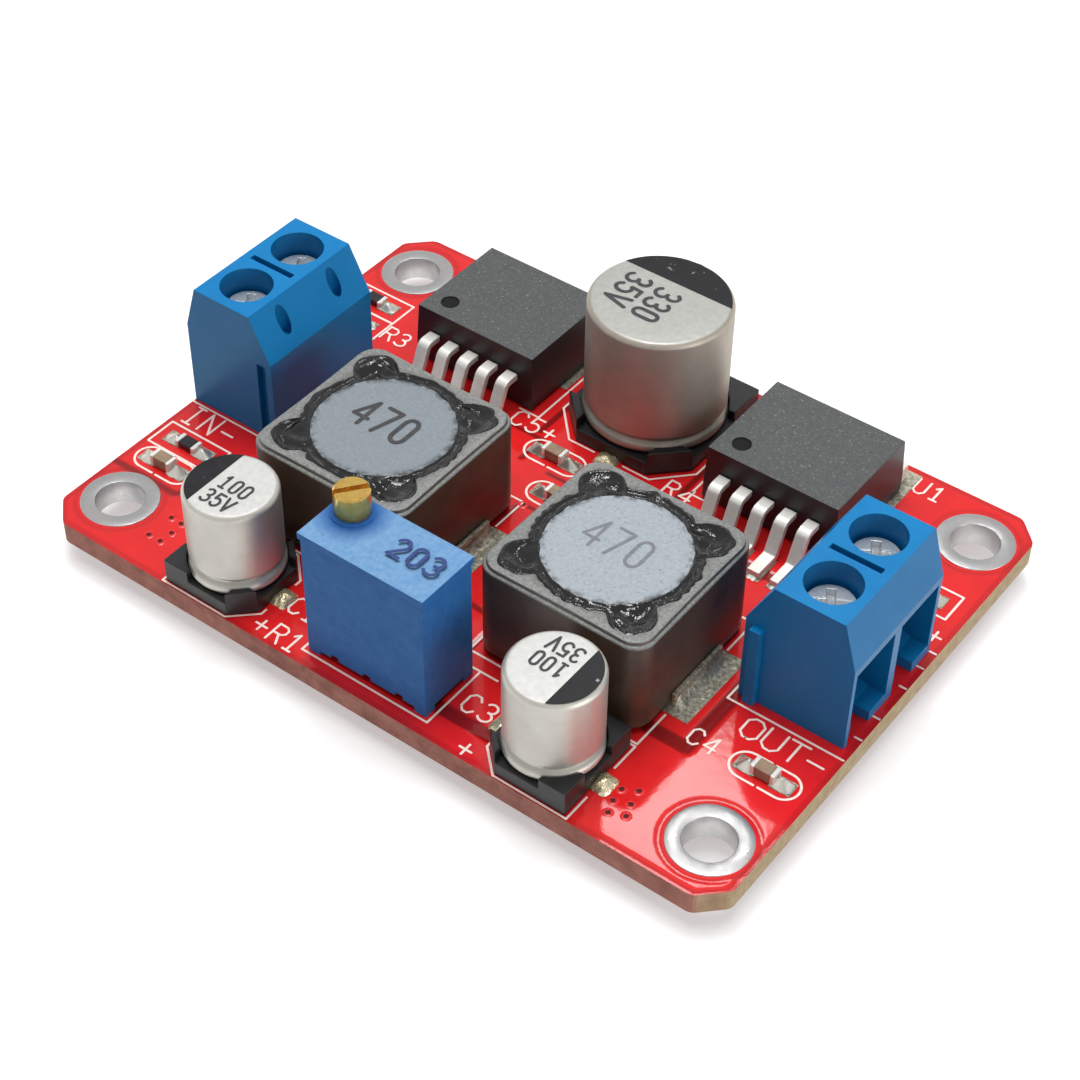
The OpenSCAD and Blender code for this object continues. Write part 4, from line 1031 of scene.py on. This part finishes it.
drawn = dict(scale=500, bump=(2600, 4e-6), stretch=(1, 1, 0.08))
lid = dict(metal=0.6, scale=2400, bump=(4200, 6e-6))
canLook = makeLook("drawnCan", (206, 203, 194), (190, 187, 178), (0.38, 0.48), metal=0.65, **drawn)
warmCanLook = makeLook("warmCan", (184, 175, 163), (168, 159, 147), (0.46, 0.56), metal=0.75, **drawn)
topLook = makeLook("canTop", (214, 214, 211), (200, 199, 196), (0.5, 0.6), **lid)
dullTopLook = makeLook("dullCanTop", (190, 190, 185), (172, 172, 167), (0.34, 0.44), **lid)
baseLook = makeLook("mouldBlack", (30, 30, 32), (22, 22, 24), (0.35, 0.5), scale=1200, bump=(3600, 6e-6))
segmentLook = makeLook(
    "blackSegment", (22, 22, 24), (30, 30, 33), (0.3, 0.45), scale=1800, level=0.3, flecks=((150, 150, 152), 1500, 0.7))
can = dict(
    edge=0.42, sunk=0.07, foot=0.4, roll=0.42, steps=128, lid=(0.6, 0.3, 0), baseEdge=0.08, leadEdge=0.04,
    # the rolled waist and the wall over it: in from the full radius and up from the can's foot
    waist=[(0.36, 0.91), (0.38, 1.01), (0.33, 1.12), (0.18, 1.27), (0.07, 1.43), (0.07, 2)],
    # arcs of the foot and the edge: first and last angle and points; the lid's finish takes the edge's last rows
    rollArc=(-80, 66, 12), edgeArc=(12, 90, 8), lidRows=3,
    # the dark segment: its chord as a share of its radius, its room inside the wall in edges, and its lift
    chord=0.42, segmentIn=0.55, segmentLift=0.008, segmentSteps=(20, 33), crowd=0.7,
    # print on the lid: sizes and places as shares of the can's radius
    printLift=0.01, textHeight=0.36, textWide=0.82, textStroke=0.058, textAt=[(0.14, 0.02), (0.1, -0.47)],
)


def makeCan(name, turn, lines, looks):
    # a drawn can turned about its axis: rolled foot, waist, wall, round edge and flat lid
    node = f"{name}_capacitor_can"
    low, high = boxOf(node)
    cx, cy, _ = middleOf(node)
    r, z0, z1 = (high[0] - low[0]) / 2, low[2], high[2]
    wall, edge, roll = r - can["sunk"], can["edge"], can["roll"]
    profile = [(0, z0), (r - can["foot"], z0), *arcPoints(r - roll, z0 + roll, roll, *can["rollArc"])]
    profile += [(r - away, z0 + up) for away, up in can["waist"]]
    profile += [(wall, z1 - edge), *arcPoints(wall - edge, z1 - edge, edge, *can["edgeArc"])]
    flat = len(profile)
    profile += [(wall * share, z1) for share in can["lid"]]
    faceLook = np.repeat(np.arange(len(profile) - 1) >= flat - can["lidRows"], can["steps"])
    makePiece(camel(node), [lathe(profile, cx, cy, can["steps"])], looks, replaced=[node],
              faceLook=faceLook, crease=30)
    makeSegment(name, cx, cy, wall - edge * can["segmentIn"], z1 + can["segmentLift"], turn)
    strokes = []
    for word, (across, along) in zip(lines, can["textAt"]):
        x, y = spun(across * r, along * r, turn)
        strokes += words(word, cx + x, cy + y, can["textHeight"] * r, turn, can["textWide"])
    printed(f"{name}CapacitorMark", strokes, can["textStroke"] * r, z1 + can["printLift"], blackInk)
    softCopy(f"{name}_capacitor_base", can["baseEdge"], baseLook, "base_black")
    softCopy(f"{name}_capacitor_leads", can["leadEdge"], leadLook, "lead_tin")


def makeSegment(name, cx, cy, r, z, turn):
    # the dark part of the top on the minus side: chords of a circle, from one chord out to the rim
    rows, cols = can["segmentSteps"]
    share = np.linspace(0, 1, rows)[:, None] ** can["crowd"]
    x = -r * (can["chord"] + (1 - can["chord"]) * share)
    y = np.linspace(-1, 1, cols) * np.sqrt(np.clip(r * r - x * x, 0, None))
    x, y = spun(np.broadcast_to(x, y.shape), y, turn)
    points, quads = surface(cx + x, cy + y, z)
    makePiece(f"{name}CapacitorSegment", [(points, quads[:, ::-1])], segmentLook)


for name, turn in (("input", 0), ("output", 180)):
    makeCan(name, turn, ("100", "35V"), (canLook, topLook))
makeCan("link", -90, ("330", "35V"), (warmCanLook, dullTopLook))
print("capacitors made")

# Multi-turn trimmer

trimmer = dict(edge=0.12, screwEdge=0.05, foot=(1.3, 2.7), text=("203", 2.35, -15.7, 1.5), stroke=0.23, lift=0.008)
trimmerTop = boxOf("trimmer_housing")[1][2]

# deep blue sides and a paler, frosted top, its paleness partly painted sheen from the light above, that stays deep blue
# round the screw
trimmerLook = makeLook(
    "trimmerBlue", (60, 122, 188), (46, 104, 172), (0.36, 0.5), scale=1300, spread=0.3, bump=(4200, 8e-6), level=0.12)
tree = trimmerLook.node_tree
facesUp = addFacing(tree, "Z", 0.7, 0.9)
# the frost's specks and a painted sheen: the faces turned up get a paler tone than the sides
frostAndSheen = addGroup(tree, "mottle", 3000, 0.28, (86, 132, 180), (120, 155, 188))
addMasked(trimmerLook, facesUp, frostAndSheen["Colour"], 0.4)
foot = addNear(tree, (*middleOf("trimmer_screw")[:2], trimmerTop), *trimmer["foot"])
addMasked(trimmerLook, addMath(tree, "MULTIPLY", foot, facesUp), (36, 86, 152), 0.4)
brassLook = makeLook(
    "bareBrass", (236, 200, 114), (208, 166, 82), (0.18, 0.28), metal=0.85, scale=1800, bump=(3000, 8e-6))
paint("trimmer_wiper", makeLook("wiperBlack", (40, 40, 42), (30, 30, 32), (0.4, 0.55)))
paint("trimmer_element", makeLook("elementWhite", (226, 226, 222), (214, 213, 208), (0.5, 0.7)))
paint("trimmer_pins", contactLook)
paint("trimmer_seal", makeLook("pottingBlue", (70, 110, 170), (58, 96, 156), (0.3, 0.5)))
softCopy("trimmer_housing", trimmer["edge"], trimmerLook, "trimmer_blue")
softCopy("trimmer_screw", trimmer["screwEdge"], brassLook, "trimmer_brass", "trimmer_screw")
trimmerInk = makeLook("navyInk", (20, 40, 96), (34, 62, 124), (0.4, 0.5), scale=2400, spread=0.3)
printed("trimmerMark", words(*trimmer["text"]), trimmer["stroke"], trimmerTop + trimmer["lift"], trimmerInk)
print("trimmer made")

# Chip parts

chipTan = makeLook("chipTan", (152, 130, 106), (126, 104, 82), (0.4, 0.55), scale=2400, bump=(4000, 4e-6))
chipBlack = makeLook("chipBlack", (34, 34, 38), (24, 24, 27), (0.25, 0.4), scale=1800)
chips = {  # width of the rounded edges, finish and slot
    "capacitor_bodies": (0.06, chipTan, "chip_tan"), "resistor_bodies": (0.05, chipBlack, "chip_black"),
    "capacitor_ends": (0.08, leadLook, "lead_tin"), "resistor_ends": (0.06, leadLook, "lead_tin"),
}
for kind, finish in chips.items():
    softCopy(f"chip_{kind}", *finish)
print("chips made")
